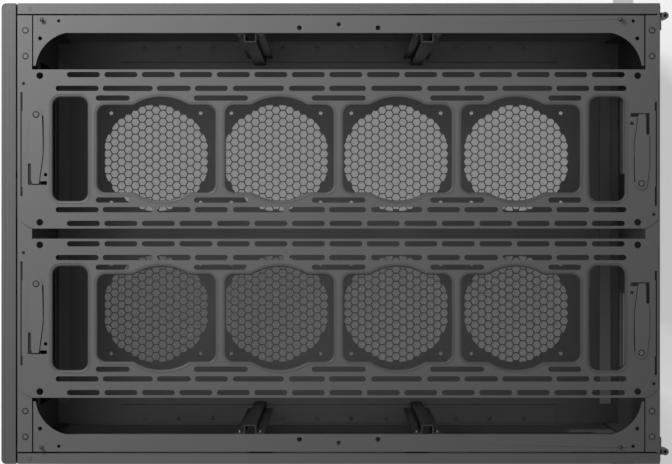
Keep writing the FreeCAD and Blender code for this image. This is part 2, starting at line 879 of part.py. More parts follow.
def door_shell():
    """The left door's sheet: a shallow tray with a large window and a finger notch at its front."""
    low_x = front
    high_x = rear
    notch_low = (door_low + door_high - pull_height) / 2
    notch = [
        (low_x, notch_low + pull_height), (low_x + pull_depth, notch_low + pull_height - pull_depth),
        (low_x + pull_depth, notch_low + pull_depth), (low_x, notch_low),
    ]
    outline = polygon([(low_x, door_low), (high_x, door_low), (high_x, door_high), (low_x, door_high)] + notch)
    opening = rounded_rectangle(low_x + door_border, high_x - door_border, door_low + door_border,
                                door_high - door_border, door_window_corner)
    skin = sideways(outline, [opening], door_outer - sheet, door_outer)
    rims = [
        block(low_x, high_x, door_inner, door_outer, door_high - sheet, door_high),
        block(low_x, high_x, door_inner, door_outer, door_low, door_low + sheet),
        block(high_x - sheet, high_x, door_inner, door_outer, door_low, door_high),
        block(low_x, low_x + sheet, door_inner, door_outer, door_low, notch_low),
        block(low_x, low_x + sheet, door_inner, door_outer, notch_low + pull_height, door_high),
    ]
    return fused([skin] + rims)


def door_pane():
    """The left door's window, held against the inside of its sheet."""
    reach = door_border - pane_lap
    low = door_low + reach
    high = door_high - reach
    outline = rounded_rectangle(front + reach, rear - reach, low, high, door_window_corner)
    return sideways(outline, [], door_outer - sheet - pane_sheet, door_outer - sheet)


def door_magnets():
    """The left door's two magnets, that hold it against the front wall's return."""
    x0 = front + sheet
    solids = []
    for level in (floor_top + magnet_floor, frame_top - magnet_drop):
        solids.append(block(x0, x0 + magnet_width, side + magnet_gap, door_outer - sheet, level,
                            level + magnet_height))
    return solids


def hinge_levels():
    """The fixed and the moving barrel's bottom and top at each hinge, low hinge first.

    At both hinges the fixed barrel lies below at the low one and above at the top one.
    """
    low_split = hinge_low + fixed_knuckle
    top_split = hinge_top - fixed_knuckle
    return [
        ((hinge_low, low_split), (low_split + knuckle_gap, low_split + knuckle_gap + door_knuckle)),
        ((top_split, hinge_top), (top_split - knuckle_gap - door_knuckle, top_split - knuckle_gap)),
    ]


def bored(parts, low, high):
    """The parts as one solid, bored through for the hinge pin."""
    return fused(parts).cut(rod(hinge_x, side, low - 1, high + 1, hinge_pin_r + hinge_clearance))


def fixed_hinge(low, high):
    """A hinge's fixed half on the rear wall: a leaf and a barrel round the pin."""
    leaf_y = side - knuckle_r + hinge_arm
    return bored([
        block(rear, rear + hinge_leaf, leaf_y - hinge_leaf_length, leaf_y, low, high),
        block(rear, hinge_x, side - knuckle_r, leaf_y, low, high),
        rod(hinge_x, side, low, high, knuckle_r),
    ], low, high)


def door_hinge(low, high):
    """A hinge's moving half on the left door: a leaf and a barrel beside the fixed one."""
    arm_y = side + knuckle_r - hinge_arm
    return bored([
        block(rear, rear + hinge_leaf, arm_y, door_outer - sheet, low, high),
        block(rear, hinge_x, arm_y, side + knuckle_r, low, high),
        rod(hinge_x, side, low, high, knuckle_r),
    ], low, high)


def hinge_pins():
    """The pins of the left side's two hinges."""
    pins = []
    for fixed, moving in hinge_levels():
        low = min(fixed[0], moving[0]) + pin_recess
        high = max(fixed[1], moving[1]) - pin_recess
        pins.append(rod(hinge_x, side, low, high, hinge_pin_r))
    return pins


def front_bezel():
    """The front bezel: a skin with two tall openings, a panel opening and walls round its edge."""
    half = bezel_width / 2
    openings = [
        rectangle(bezel_inner, bezel_outer, bezel_low, bezel_high),
        rectangle(-bezel_outer, -bezel_inner, bezel_low, bezel_high),
        rectangle(-io_panel_width / 2, io_panel_width / 2, io_panel_low, io_panel_low + io_panel_height),
    ]
    block_in = bezel_back - bezel_front
    plan = polygon([
        (bezel_front + bezel_corner, -half), (bezel_back, -half), (bezel_back, half),
        (bezel_front + bezel_corner, half), (bezel_front + bezel_corner * 0.3, half - bezel_corner * 0.3),
        (bezel_front, half - bezel_corner), (bezel_front, -half + bezel_corner),
        (bezel_front + bezel_corner * 0.3, -half + bezel_corner * 0.3),
    ])
    solid = pierced(plan, [], frame_bottom, frame_top)
    wall = bezel_skin
    hollow = block(bezel_front + bezel_skin, bezel_back + 1, -half + wall, half - wall,
                   frame_bottom + wall, frame_top - wall)
    through = [upright(opening, [], bezel_front - 1, bezel_front + block_in) for opening in openings]
    return solid.cut(Part.makeCompound([hollow])).cut(Part.makeCompound(through))


def bezel_clips():
    """The six clips between the bezel's skin and the front wall."""
    half = clip_size / 2
    y = (bezel_outer + bezel_width / 2) / 2
    middle = (frame_bottom + frame_top) / 2
    solids = []
    for level in (frame_bottom + clip_inset, middle, frame_top - clip_inset):
        for hand in (-1, 1):
            solids.append(block(bezel_front + bezel_skin, front, hand * y - half, hand * y + half,
                                level - half, level + half))
    return solids


def bay_floor():
    """The height where the bay covers end and the mesh panel starts."""
    return bezel_high - bay_count * (bay_height + bay_gap)


def bay_covers():
    """The six drive bay covers at the top of the two front openings."""
    solids = []
    for hand in (-1, 1):
        low_y, high_y = sorted((hand * (bezel_inner + fit_gap), hand * (bezel_outer - fit_gap)))
        for k in range(bay_count):
            top = bezel_high - fit_gap - k * (bay_height + bay_gap)
            outline = rectangle(low_y, high_y, top - bay_height, top)
            middle = (low_y + high_y) / 2
            grip = slot(middle - bay_grip / 2, middle + bay_grip / 2, top - bay_height / 2, bay_grip_height)
            solids.append(upright(outline, [grip], bezel_front + 1, bezel_front + 1 + bay_sheet))
    return solids


def mesh_panel():
    """The left front mesh: a panel pierced in rows and columns, with its edge turned back."""
    y0 = bezel_inner + fit_gap
    y1 = bezel_outer - fit_gap
    z0 = bezel_low + fit_gap
    z1 = bay_floor() - bay_gap
    cell_y = (y1 - y0 - 2 * mesh_border + mesh_web) / mesh_columns
    cell_z = (z1 - z0 - 2 * mesh_border + mesh_web) / mesh_rows
    holes = []
    for column in range(mesh_columns):
        for row in range(mesh_rows):
            y = y0 + mesh_border + column * cell_y
            z = z0 + mesh_border + row * cell_z
            holes.append(rectangle(y, y + cell_y - mesh_web, z, z + cell_z - mesh_web))
    x0 = bezel_front + 1
    skin = upright(rectangle(y0, y1, z0, z1), holes, x0, x0 + mesh_sheet)
    inside = rectangle(y0 + mesh_sheet, y1 - mesh_sheet, z0 + mesh_sheet, z1 - mesh_sheet)
    rim = upright(rectangle(y0, y1, z0, z1), [inside], x0, bezel_back)
    return fused([skin, rim])


def io_panel():
    """The panel in the middle of the front, with holes for its ports and buttons."""
    half = io_panel_width / 2 - fit_gap
    low = io_panel_low + fit_gap
    high = io_panel_low + io_panel_height - fit_gap
    holes = []
    for y, z, width in button_places.values():
        reach_y = width / 2 + fit_gap
        reach_z = button_height / 2 + fit_gap
        holes.append(rectangle(y - reach_y, y + reach_y, io_centre + z - reach_z, io_centre + z + reach_z))
    for y, z in usb_places:
        holes.append(rectangle(y, y + usb_width, io_centre + z, io_centre + z + usb_height))
    for y, z in jack_places:
        holes.append(circle(y, io_centre + z + usb_height / 2, jack_r))
    return upright(rectangle(-half, half, low, high), holes, io_front, io_front + bezel_skin)


def usb_ports():
    """The four metal port shells with their tongues."""
    solids = []
    for y, z in usb_places:
        outline = rectangle(y, y + usb_width, io_centre + z, io_centre + z + usb_height)
        inside = rectangle(y + usb_wall, y + usb_width - usb_wall, io_centre + z + usb_wall,
                           io_centre + z + usb_height - usb_wall)
        shell = upright(outline, [inside], io_front + 0.2, io_front + usb_depth)
        back = block(io_front + usb_depth - 1, io_front + usb_depth, y + usb_lap, y + usb_width - usb_lap,
                     io_centre + z + usb_lap, io_centre + z + usb_height - usb_lap)
        tongue = block(io_front + 1, io_front + usb_depth, y + usb_tongue_inset,
                       y + usb_width - usb_tongue_inset,
                       io_centre + z + usb_height * 0.5, io_centre + z + usb_height * 0.8)
        solids.append(fused([shell, back, tongue]))
    return solids


def audio_jacks():
    """The two round sockets."""
    solids = []
    for y, z in jack_places:
        middle = io_centre + z + usb_height / 2
        body = rod_x(io_front - 0.4, io_front + usb_depth, y, middle, jack_r)
        bore = rod_x(io_front - 1, io_front + usb_depth - 1, y, middle, jack_bore)
        solids.append(body.cut(bore))
    return solids


def button(y, z, width):
    """A push button whose cap stands proud of the panel."""
    x0 = io_front - button_proud
    middle = io_centre + z
    return block(x0, x0 + button_length, y - width / 2, y + width / 2, middle - button_height / 2,
                 middle + button_height / 2)


def slot_covers(hand):
    """The expansion slot covers of one chamber, inside the rear wall."""
    low_y, high_y = sorted((hand * slot_cover_start, hand * (slot_cover_start + slot_cover_length)))
    x1 = rear - sheet
    solids = []
    for level in slot_levels():
        half = slot_cover_width / 2
        solids.append(block(x1 - slot_cover_sheet, x1, low_y, high_y, level - half, level + half))
    return solids


def slot_screws():
    """The thumb screws that hold the slot covers, one each."""
    solids = []
    for hand in (-1, 1):
        y = hand * (slot_cover_start + slot_cover_length - thumb_r - 1)
        for level in slot_levels():
            solids.append(stub_x(rear, rear + thumb_head, y, level, thumb_r))
    return solids


def psu_frames():
    """The power supply frames, one on each chamber's opening."""
    solids = []
    half_y = psu_width / 2
    for hand in (-1, 1):
        y = hand * psu_y
        outline = rectangle(y - half_y - psu_rim, y + half_y + psu_rim, psu_low - psu_rim,
                            psu_low + psu_height + psu_rim)
        opening = rectangle(y - half_y, y + half_y, psu_low, psu_low + psu_height)
        solids.append(upright(outline, [opening], rear, rear + psu_sheet))
    return solids


def psu_screws():
    """The four thumb screws of each power supply frame."""
    solids = []
    for hand in (-1, 1):
        for dy in (-1, 1):
            for z in (psu_low - psu_rim / 2, psu_low + psu_height + psu_rim / 2):
                y = hand * psu_y + dy * (psu_width + psu_rim) / 2
                solids.append(stub_x(rear + psu_sheet, rear + psu_sheet + thumb_head, y, z, thumb_r))
    return solids


def build():
    """Every node of the case."""
    write("floor_pan", floor_pan())
    write("dust_filter_left", dust_filter(vent_row))
    write("dust_filter_right", dust_filter(-vent_row))
    write("floor_rail_left", floor_rail())
    write("floor_rail_right", other_side(floor_rail()))
    write("front_wall", front_wall())
    write("rear_wall", rear_wall())
    write("top_rail_left", top_rail())
    write("top_rail_right", other_side(top_rail()))
    write_group("ball_studs", ball_studs())
    for name, x in (("front", -strut_x), ("rear", strut_x)):
        write("strut_left_" + name, strut(x))
        write("strut_right_" + name, other_side(strut(x)))
    write_group("strut_screws", strut_screws())
    write_group("flange_screws", flange_screws())
    pivots = []
    for name, centre_y in (("left", bracket_pitch / 2), ("right", -bracket_pitch / 2)):
        plate = bracket()
        plate.translate(Vector(0, centre_y, 0))
        write("radiator_bracket_" + name, plate)
        for end, piece in zip(("front", "rear"), at_latches(lever(), centre_y)):
            write("lever_" + name + "_" + end, piece)
        pivots += at_latches(lever_pivot(), centre_y)
    write_group("lever_pivots", pivots)
    hinges = [fixed_hinge(*fixed) for fixed, moving in hinge_levels()]
    write_group("hinge_brackets", hinges + [other_side(hinge) for hinge in hinges])
    write_group("hinge_pins", hinge_pins() + [other_side(pin) for pin in hinge_pins()])
    door_hinges = [door_hinge(*moving) for fixed, moving in hinge_levels()]
    write("door_left", door_shell())
    write("door_right", other_side(door_shell()))
    write("door_window_left", door_pane())
    write("door_window_right", other_side(door_pane()))
    write_group("door_hinges_left", door_hinges)
    write_group("door_hinges_right", [other_side(hinge) for hinge in door_hinges])
    write_group("door_magnets_left", door_magnets())
    write_group("door_magnets_right", [other_side(magnet) for magnet in door_magnets()])
    write("front_bezel", front_bezel())
    write_group("bezel_clips", bezel_clips())
    write_group("bay_covers", bay_covers())
    write("front_mesh_left", mesh_panel())
    write("front_mesh_right", other_side(mesh_panel()))
    write("io_panel", io_panel())
    write_group("usb_ports", usb_ports())
    write_group("audio_jacks", audio_jacks())
    for name, (y, z, width) in button_places.items():
        write(name, button(y, z, width))
    write_group("slot_covers_left", slot_covers(1))
    write_group("slot_covers_right", slot_covers(-1))
    write_group("slot_screws", slot_screws())
    write_group("psu_frames", psu_frames())
    write_group("psu_screws", psu_screws())
    write_group("feet", feet())
    write_group("foot_pads", foot_pads())


os.makedirs("parts", exist_ok=True)
build()
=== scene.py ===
import math

import bpy
import numpy as np
from bpy.props import FloatProperty, FloatVectorProperty, PointerProperty
from mathutils.geometry import delaunay_2d_cdt
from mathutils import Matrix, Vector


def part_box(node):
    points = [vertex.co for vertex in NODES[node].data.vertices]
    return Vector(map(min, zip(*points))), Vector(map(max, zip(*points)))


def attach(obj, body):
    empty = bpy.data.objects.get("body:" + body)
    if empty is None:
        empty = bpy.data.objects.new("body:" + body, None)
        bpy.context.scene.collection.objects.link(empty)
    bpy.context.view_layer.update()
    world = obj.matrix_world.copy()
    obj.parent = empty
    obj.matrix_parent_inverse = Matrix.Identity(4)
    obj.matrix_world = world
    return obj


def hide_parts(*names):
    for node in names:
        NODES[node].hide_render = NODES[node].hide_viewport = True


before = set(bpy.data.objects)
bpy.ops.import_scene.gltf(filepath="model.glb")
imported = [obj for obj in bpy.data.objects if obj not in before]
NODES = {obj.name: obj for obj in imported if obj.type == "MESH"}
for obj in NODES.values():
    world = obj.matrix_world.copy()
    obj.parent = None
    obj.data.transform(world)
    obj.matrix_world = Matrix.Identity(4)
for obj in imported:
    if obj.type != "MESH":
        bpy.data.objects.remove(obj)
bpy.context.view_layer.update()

bl_info = {
    "name": "Cube computer case",
    "version": (1, 0, 0),
    "blender": (4, 5, 0),
    "location": "3D View > Sidebar > Cube Case",
    "description": "Dresses the packed solids of a cube computer case",
    "category": "Object",
}

MM = 0.001


def node_box(node):
    """The lowest and highest corner of a solid."""
    low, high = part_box(node)
    return [float(value) for value in low], [float(value) for value in high]


BRACKET_LOW, BRACKET_HIGH = node_box("radiator_bracket_left")
FLOOR_LOW, FLOOR_HIGH = node_box("floor_pan")
FRONT_LOW, FRONT_HIGH = node_box("front_wall")
REAR_LOW, REAR_HIGH = node_box("rear_wall")
MIDDLE_X = (BRACKET_LOW[0] + BRACKET_HIGH[0]) / 2
SHEET = 1.5 * MM    # gauge of the frame's sheets
FAN_X = (np.arange(4) - 1.5) * 121.5 * MM   # fan openings of a bracket, from its middle
FAN_SCREW = 52.5 * MM                   # from a 120 mm fan's middle to its screws, along each axis
END_WINDOW_X = 276.2 * MM               # from a bracket's middle to its end windows
PIVOT_X, PIVOT_Y = 311.2 * MM, 35.5 * MM    # from a bracket's middle to a latch lever's pivot
VENT_X = (np.arange(4) - 1.5) * 141.0 * MM + MIDDLE_X - 2.8 * MM   # a little nearer the front than the brackets
VENT_Y = 88.7 * MM
FLANGE_SCREW_X = 322.3 * MM
FLANGE_SCREW_Y = np.array([-209.0, -182.5, 182.5, 209.0]) * MM
STUD_X, STUD_Y = (-305.2 * MM, 289.7 * MM), 219.9 * MM
PIN_LEVELS = ((34.5 * MM, 65.9 * MM), (616.1 * MM, 647.5 * MM))
EDGE_SCREW_X, EDGE_SCREW_Y = -317.8 * MM, 231.5 * MM
STRUT_X = 91.2 * MM
FOOT_X, FOOT_Y = 307.0 * MM, 194.0 * MM
CAMERA_X, CAMERA_Y = MIDDLE_X - 2.8 * MM, 1.65 * MM
SHADE_STRIP_X, SHADE_STRIP_HALF = 0.341, 0.012      # strip of the studio floor, over its whole width, that doesn't glow: painted shade along the foot of the rear wall
SLOT_TOP, SLOT_PITCH = 448.0 * MM, 20.32 * MM   # expansion slots at the rear


def bracket_middle(side):
    """The Y of the middle of the bracket on one side."""
    low, high = node_box("radiator_bracket_" + side)
    return (low[1] + high[1]) / 2


# Outlines in the plan: each is an array of points that runs anticlockwise.

def arc(centre_x, centre_y, radius, start, end, count):
    """Points on a circle between two angles in degrees, ends included."""
    angle = np.radians(np.linspace(start, end, count))
    return np.stack([centre_x + radius * np.cos(angle), centre_y + radius * np.sin(angle)], axis=1)


def ring(centre_x, centre_y, radius, count=24):
    """A full circle of points."""
    return arc(centre_x, centre_y, radius, 0, 360, count + 1)[:-1]


def rounded(x0, x1, y0, y1, radius, count=7):
    """A rectangle with round corners."""
    return np.concatenate([
        arc(x1 - radius, y0 + radius, radius, -90, 0, count),
        arc(x1 - radius, y1 - radius, radius, 0, 90, count),
        arc(x0 + radius, y1 - radius, radius, 90, 180, count),
        arc(x0 + radius, y0 + radius, radius, 180, 270, count),
    ])


def slot_outline(x0, x1, y, height, count=7):
    """A slot with half-round ends."""
    radius = height / 2
    return np.concatenate([arc(x1 - radius, y, radius, -90, 90, count),
                           arc(x0 + radius, y, radius, 90, 270, count)])


def square(x0, x1, y0, y1):
    """A rectangle with sharp corners."""
    return np.array([(x0, y0), (x1, y0), (x1, y1), (x0, y1)], dtype=float)


def moved(outline, x, y):
    """An outline shifted in the plan."""
    return outline + np.array([x, y])


def half_turned(outline):
    """An outline turned half round about the origin."""
    return -outline


def mirrored_y(outline):
    """An outline on the other side of the X axis, still anticlockwise."""
    return (outline * np.array([1.0, -1.0]))[::-1]


def mirrored_x(outline):
    """An outline with its first coordinate turned about, still anticlockwise."""
    return (outline * np.array([-1.0, 1.0]))[::-1]


def outward(outline):
    """At each point the step that moves both its sides outward by one: the two side normals, mitred."""
    before = outline - np.roll(outline, 1, axis=0)
    after = np.roll(outline, -1, axis=0) - outline
    before /= np.linalg.norm(before, axis=1)[:, None]
    after /= np.linalg.norm(after, axis=1)[:, None]
    normal_before = np.column_stack([before[:, 1], -before[:, 0]])
    normal_after = np.column_stack([after[:, 1], -after[:, 0]])
    normal = normal_before + normal_after
    normal /= (1 + np.sum(normal_before * normal_after, axis=1))[:, None]
    return normal


def grown(outline, distance):
    """An outline with every side moved outward by a distance."""
    return outline + outward(outline) * distance


def honeycomb(centre_x, centre_y, radius, pitch, hole):
    """Hexagons with corners left and right in staggered columns, those at the rim cut by the circle.

    A cut cell is drawn with three points to a side, and each point outside the circle is drawn in to it.
    """
    column_pitch = pitch * math.sqrt(3) / 2
    count = int(radius / column_pitch) + 2
    column, row = np.meshgrid(np.arange(-count, count + 1), np.arange(-count, count + 1), indexing="ij")
    x = column * column_pitch
    y = (row + 0.5 * (column % 2)) * pitch
    place = np.array([centre_x, centre_y])
    corner = arc(0, 0, hole / math.sqrt(3), 0, 300, 6)
    side = np.roll(corner, -1, axis=0) - corner
    edge = (corner[:, None, :] + side[:, None, :] * np.array([0, 1, 2])[None, :, None] / 3).reshape(-1, 2)
    reach = np.hypot(x, y)
    inside = reach + hole / math.sqrt(3) <= radius
    crossed = ~inside & (reach <= radius - hole * 0.05)
    whole = np.stack([x[inside], y[inside]], axis=1)[:, None, :] + corner[None, :, :]
    cut = np.stack([x[crossed], y[crossed]], axis=1)[:, None, :] + edge[None, :, :]
    cut *= np.minimum(1.0, radius / np.hypot(cut[..., 0], cut[..., 1]))[..., None]
    return list(whole + place) + list(cut + place)


# Shells: each is (points, faces), where faces is a list of arrays with one row to a face.

def sheet(outline, holes, low, high):
    """A flat sheet between two heights, pierced by its holes.

    Its top is the constrained triangulation of the outline and the holes, less what lies in a
    hole, its underside is the same turned over, and a wall drops from every free edge of the top.
    """
    loops = [outline] + list(holes)
    starts = np.cumsum([0] + [len(loop) for loop in loops])
    points = np.concatenate(loops) * 1000
    rings = [list(range(a, b)) for a, b in zip(starts[:-1], starts[1:])]
    made = delaunay_2d_cdt([tuple(p) for p in points.tolist()], [], rings, 1, 1e-5)
    flat = np.array([tuple(p) for p in made[0]]) / 1000
    faces = np.array([face for face, source in zip(made[2], made[5]) if len(source) == 1])
    a, b, c = flat[faces[:, 0]], flat[faces[:, 1]], flat[faces[:, 2]]
    area = (b[:, 0] - a[:, 0]) * (c[:, 1] - a[:, 1]) - (b[:, 1] - a[:, 1]) * (c[:, 0] - a[:, 0])
    faces[area < 0] = faces[area < 0][:, ::-1]
    faces = faces[np.abs(area) > 1e-14]
    count = len(flat)
    edges = np.concatenate([faces[:, [0, 1]], faces[:, [1, 2]], faces[:, [2, 0]]])
    keys = edges[:, 0] * count + edges[:, 1]
    free = edges[~np.isin(keys, edges[:, 1] * count + edges[:, 0])]
    top = np.column_stack([flat, np.full(count, high)])
    bottom = np.column_stack([flat, np.full(count, low)])
    walls = np.column_stack([free[:, 0] + count, free[:, 1] + count, free[:, 1], free[:, 0]])
    return np.concatenate([top, bottom]), [faces, faces[:, ::-1] + count, walls]


def rim(outline, profile):
    """A closed ring: a profile of (offset outward, height) points carried along an outline.

    A point moves along the outline's outward normal by the offset, so the ring follows the edge.
    The profile runs clockwise when the offset is drawn to the right and the height up.
    """
    profile = np.array(profile)
    plan = outline[:, None, :] + outward(outline)[:, None, :] * profile[None, :, :1]
    height = np.broadcast_to(profile[None, :, 1:], plan.shape[:2] + (1,))
    return grid_shell(np.concatenate([plan, height], axis=2), True, True)


def grid_shell(points, wrap_rows, wrap_columns):
    """A surface on a grid of points, closed along either direction where asked."""
    rows, columns = points.shape[:2]
    index = np.arange(rows * columns).reshape(rows, columns)
    down = np.roll(index, -1, axis=0)
    right = np.roll(index, -1, axis=1)
    corner = np.roll(down, -1, axis=1)
    cut = (slice(None) if wrap_rows else slice(0, -1), slice(None) if wrap_columns else slice(0, -1))
    faces = np.stack([index[cut], down[cut], corner[cut], right[cut]], axis=-1).reshape(-1, 4)
    return points.reshape(-1, 3), [faces]


def capped(points, lowest, highest):
    """A closed body of revolution: points has a row for each angle, and a pole closes each end."""
    count, size = points.shape[:2]
    body, faces = grid_shell(points, True, False)
    start = np.arange(count) * size
    following = np.roll(start, -1)
    bottom = np.column_stack([np.full(count, len(body)), following, start])
    top = np.column_stack([np.full(count, len(body) + 1), start + size - 1, following + size - 1])
    return np.concatenate([body, np.array([lowest, highest])]), faces + [bottom, top]


def turned(profile, x, y, count=32):
    """A lathe shape about a standing axis: a profile of (radius, height), its poles closed.

    The profile runs from the bottom of the axis, outward and up, back to the axis.
    """
    profile = np.array(profile)
    angle = np.linspace(0, 2 * math.pi, count, endpoint=False)
    inner = profile[1:-1]
    points = np.stack([
        x + np.cos(angle)[:, None] * inner[None, :, 0], y + np.sin(angle)[:, None] * inner[None, :, 0],
        np.broadcast_to(inner[None, :, 1], (count, len(inner))),
    ], axis=-1)
    return capped(points, (x, y, profile[0, 1]), (x, y, profile[-1, 1]))


def prism(section, start, end, axis):
    """A bar with one section along X (axis 0, section in Y and Z) or Y (axis 1, section in X and Z)."""
    section = np.array(section, dtype=float)
    count = len(section)
    along = np.repeat([start, end], count)
    both = np.tile(section, (2, 1))
    columns = [along, both[:, 0], both[:, 1]] if axis == 0 else [both[:, 0], along, both[:, 1]]
    index = np.arange(count)
    following = np.roll(index, -1)
    walls = np.column_stack([index, following, following + count, index + count])
    caps = np.array([index[::-1]]), np.array([index + count])
    faces = [walls, *caps]
    if axis == 1:
        faces = [face[:, ::-1] for face in faces]
    return np.column_stack(columns), faces


def turned_to(shell, axis):
    """A shell drawn standing on Z, laid over so that its z points along +X (axis 0) or +Y (axis 1)."""
    points, faces = shell
    order = [2, 0, 1] if axis == 0 else [1, 2, 0]
    return points[:, order], faces


def shifted(shell, x=0.0, y=0.0, z=0.0):
    """A shell moved as a whole."""
    return shell[0] + np.array([x, y, z]), shell[1]


def other_side(shell):
    """A shell mirrored in Y, with its faces still outward."""
    return shell[0] * np.array([1, -1, 1]), [face[:, ::-1] for face in shell[1]]


def standing(outline, holes, near, far):
    """A sheet that stands across the case: its outline is in Y and Z, its thickness runs along X."""
    return turned_to(sheet(outline, holes, near, far), 0)


def box_shell(low, high):
    """A block between two corners."""
    section = [(low[1], low[2]), (high[1], low[2]), (high[1], high[2]), (low[1], high[2])]
    return prism(section, low[0], high[0], 0)


def piece(name, shells, material, body, nodes=(), smooth=30.0, bevel=0.0):
    """One object made of shells, riding on a body and standing for its solids."""
    count = np.cumsum([0] + [len(points) for points, faces in shells])
    points = np.concatenate([points for points, faces in shells])
    faces = [face + start for (_, group), start in zip(shells, count[:-1]) for face in group]
    corners = np.concatenate([face.ravel() for face in faces]).astype(np.int32)
    sizes = np.concatenate([np.full(len(face), face.shape[1]) for face in faces])
    mesh = bpy.data.meshes.new(name)
    mesh.vertices.add(len(points))
    mesh.vertices.foreach_set("co", points.astype(np.float32).ravel())
    mesh.loops.add(len(corners))
    mesh.loops.foreach_set("vertex_index", corners)
    mesh.polygons.add(len(sizes))
    mesh.polygons.foreach_set("loop_start", np.concatenate([[0], np.cumsum(sizes)[:-1]]).astype(np.int32))
    mesh.update(calc_edges=True)
    mesh.validate()
    mesh.polygons.foreach_set("use_smooth", np.ones(len(mesh.polygons), dtype=bool))
    mesh.set_sharp_from_angle(angle=math.radians(smooth))
    mesh.materials.append(material)
    made = bpy.data.objects.new(name, mesh)
    bpy.context.scene.collection.objects.link(made)
    if bevel:
        edge = made.modifiers.new("Edge", "BEVEL")
        edge.width = bevel
        edge.segments = 2
        edge.limit_method = "ANGLE"
        edge.angle_limit = math.radians(40)
    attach(made, body)
    if nodes:
        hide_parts(*nodes)
    return made


# Finishes

def finish(name, colour, roughness, metallic=0.0):
    """A new material and the parts of its node tree that every finish uses."""
    material = bpy.data.materials.new(name)
    material.use_nodes = True
    tree = material.node_tree
    shader = tree.nodes["Principled BSDF"]
    shader.inputs["Base Color"].default_value = (*colour, 1.0)
    shader.inputs["Roughness"].default_value = roughness
    shader.inputs["Metallic"].default_value = metallic
    return material, tree, shader


def noise(tree, scale, detail=2.0, stretch=(1.0, 1.0, 1.0)):
    """A noise on the object's own coordinates, stretched along its axes."""
    place = tree.nodes.new("ShaderNodeTexCoord")
    mapping = tree.nodes.new("ShaderNodeMapping")
    mapping.inputs["Scale"].default_value = stretch
    texture = tree.nodes.new("ShaderNodeTexNoise")
    texture.inputs["Scale"].default_value = scale
    texture.inputs["Detail"].default_value = detail
    tree.links.new(place.outputs["Object"], mapping.inputs["Vector"])
    tree.links.new(mapping.outputs["Vector"], texture.inputs["Vector"])
    return texture.outputs["Fac"]


def ranged(tree, value, low, high):
    """A value from 0 to 1 spread between two others."""
    spread = tree.nodes.new("ShaderNodeMapRange")
    spread.inputs["To Min"].default_value = low
    spread.inputs["To Max"].default_value = high
    tree.links.new(value, spread.inputs["Value"])
    return spread.outputs["Result"]


def shaded(tree, shader, colour, value, low, high):
    """The base colour brightened and darkened by a value."""
    mix = tree.nodes.new("ShaderNodeMix")
    mix.data_type = "RGBA"
    mix.inputs["A"].default_value = (*[c * low for c in colour], 1.0)
    mix.inputs["B"].default_value = (*[min(c * high, 1.0) for c in colour], 1.0)
    tree.links.new(value, mix.inputs["Factor"])
    tree.links.new(mix.outputs["Result"], shader.inputs["Base Color"])


def bumped(tree, shader, value, depth):
    """A relief of a given depth in metres."""
    relief = tree.nodes.new("ShaderNodeBump")
    relief.inputs["Strength"].default_value = 1.0
    relief.inputs["Distance"].default_value = depth
    tree.links.new(value, relief.inputs["Height"])
    tree.links.new(relief.outputs["Normal"], shader.inputs["Normal"])


def powder_coat(name, colour, roughness):
    """Satin powder coat: a fine orange-peel grain, small specks and slow clouds of tone."""
    material, tree, shader = finish(name, colour, roughness)
    grain = noise(tree, 900.0, 3.0)
    clouds = noise(tree, 7.0, 3.0)
    both = tree.nodes.new("ShaderNodeMath")
    both.operation = "MULTIPLY_ADD"
    both.inputs[1].default_value = 0.35
    tree.links.new(grain, both.inputs[0])
    tree.links.new(ranged(tree, clouds, 0.1, 0.55), both.inputs[2])
    shaded(tree, shader, colour, both.outputs["Value"], 0.88, 1.12)
    tree.links.new(ranged(tree, clouds, roughness - 0.05, roughness + 0.06), shader.inputs["Roughness"])
    bumped(tree, shader, noise(tree, 1400.0, 2.0), 0.00002)
    return material


def moulded(name, colour, roughness):
    """Moulded plastic: an even spark-eroded grain and faint flow clouds."""
    material, tree, shader = finish(name, colour, roughness)
    shaded(tree, shader, colour, noise(tree, 12.0, 4.0), 0.92, 1.08)
    bumped(tree, shader, noise(tree, 2200.0, 1.0), 0.00003)
    return material


def brushed(name, colour, roughness):
    """Bright zinc on a small fastener: fine turned streaks and a patchy sheen."""
    material, tree, shader = finish(name, colour, roughness, 1.0)
    streaks = noise(tree, 500.0, 3.0, (1.0, 1.0, 12.0))
    shaded(tree, shader, colour, streaks, 0.8, 1.1)
    tree.links.new(ranged(tree, streaks, roughness - 0.08, roughness + 0.12), shader.inputs["Roughness"])
    return material


def woven_filter(name, colour, cover):
    """Fine woven nylon: threads in two directions, each a wave, and open between them."""
    material, tree, shader = finish(name, colour, 0.75)
    place = tree.nodes.new("ShaderNodeTexCoord")
    waves = []
    for direction in ("X", "Y"):
        wave = tree.nodes.new("ShaderNodeTexWave")
        wave.bands_direction = direction
        wave.inputs["Scale"].default_value = 420.0
        wave.inputs["Distortion"].default_value = 0.0
        tree.links.new(place.outputs["Object"], wave.inputs["Vector"])
        waves.append(wave.outputs["Fac"])
    cloth = tree.nodes.new("ShaderNodeMath")
    cloth.operation = "MAXIMUM"
    tree.links.new(waves[0], cloth.inputs[0])
    tree.links.new(waves[1], cloth.inputs[1])
    shaded(tree, shader, colour, noise(tree, 330.0, 3.0), 0.3, 1.5)
    tree.links.new(ranged(tree, cloth.outputs["Value"], *cover), shader.inputs["Alpha"])
    return material


def tinted_pane(name, colour):
    """A smoked clear pane with a faint wipe of haze in its polish."""
    material, tree, shader = finish(name, colour, 0.04)
    shader.inputs["Transmission Weight"].default_value = 0.85
    shader.inputs["IOR"].default_value = 1.49
    tree.links.new(ranged(tree, noise(tree, 5.0, 4.0), 0.03, 0.09), shader.inputs["Roughness"])
    return material


FINISHES = {}


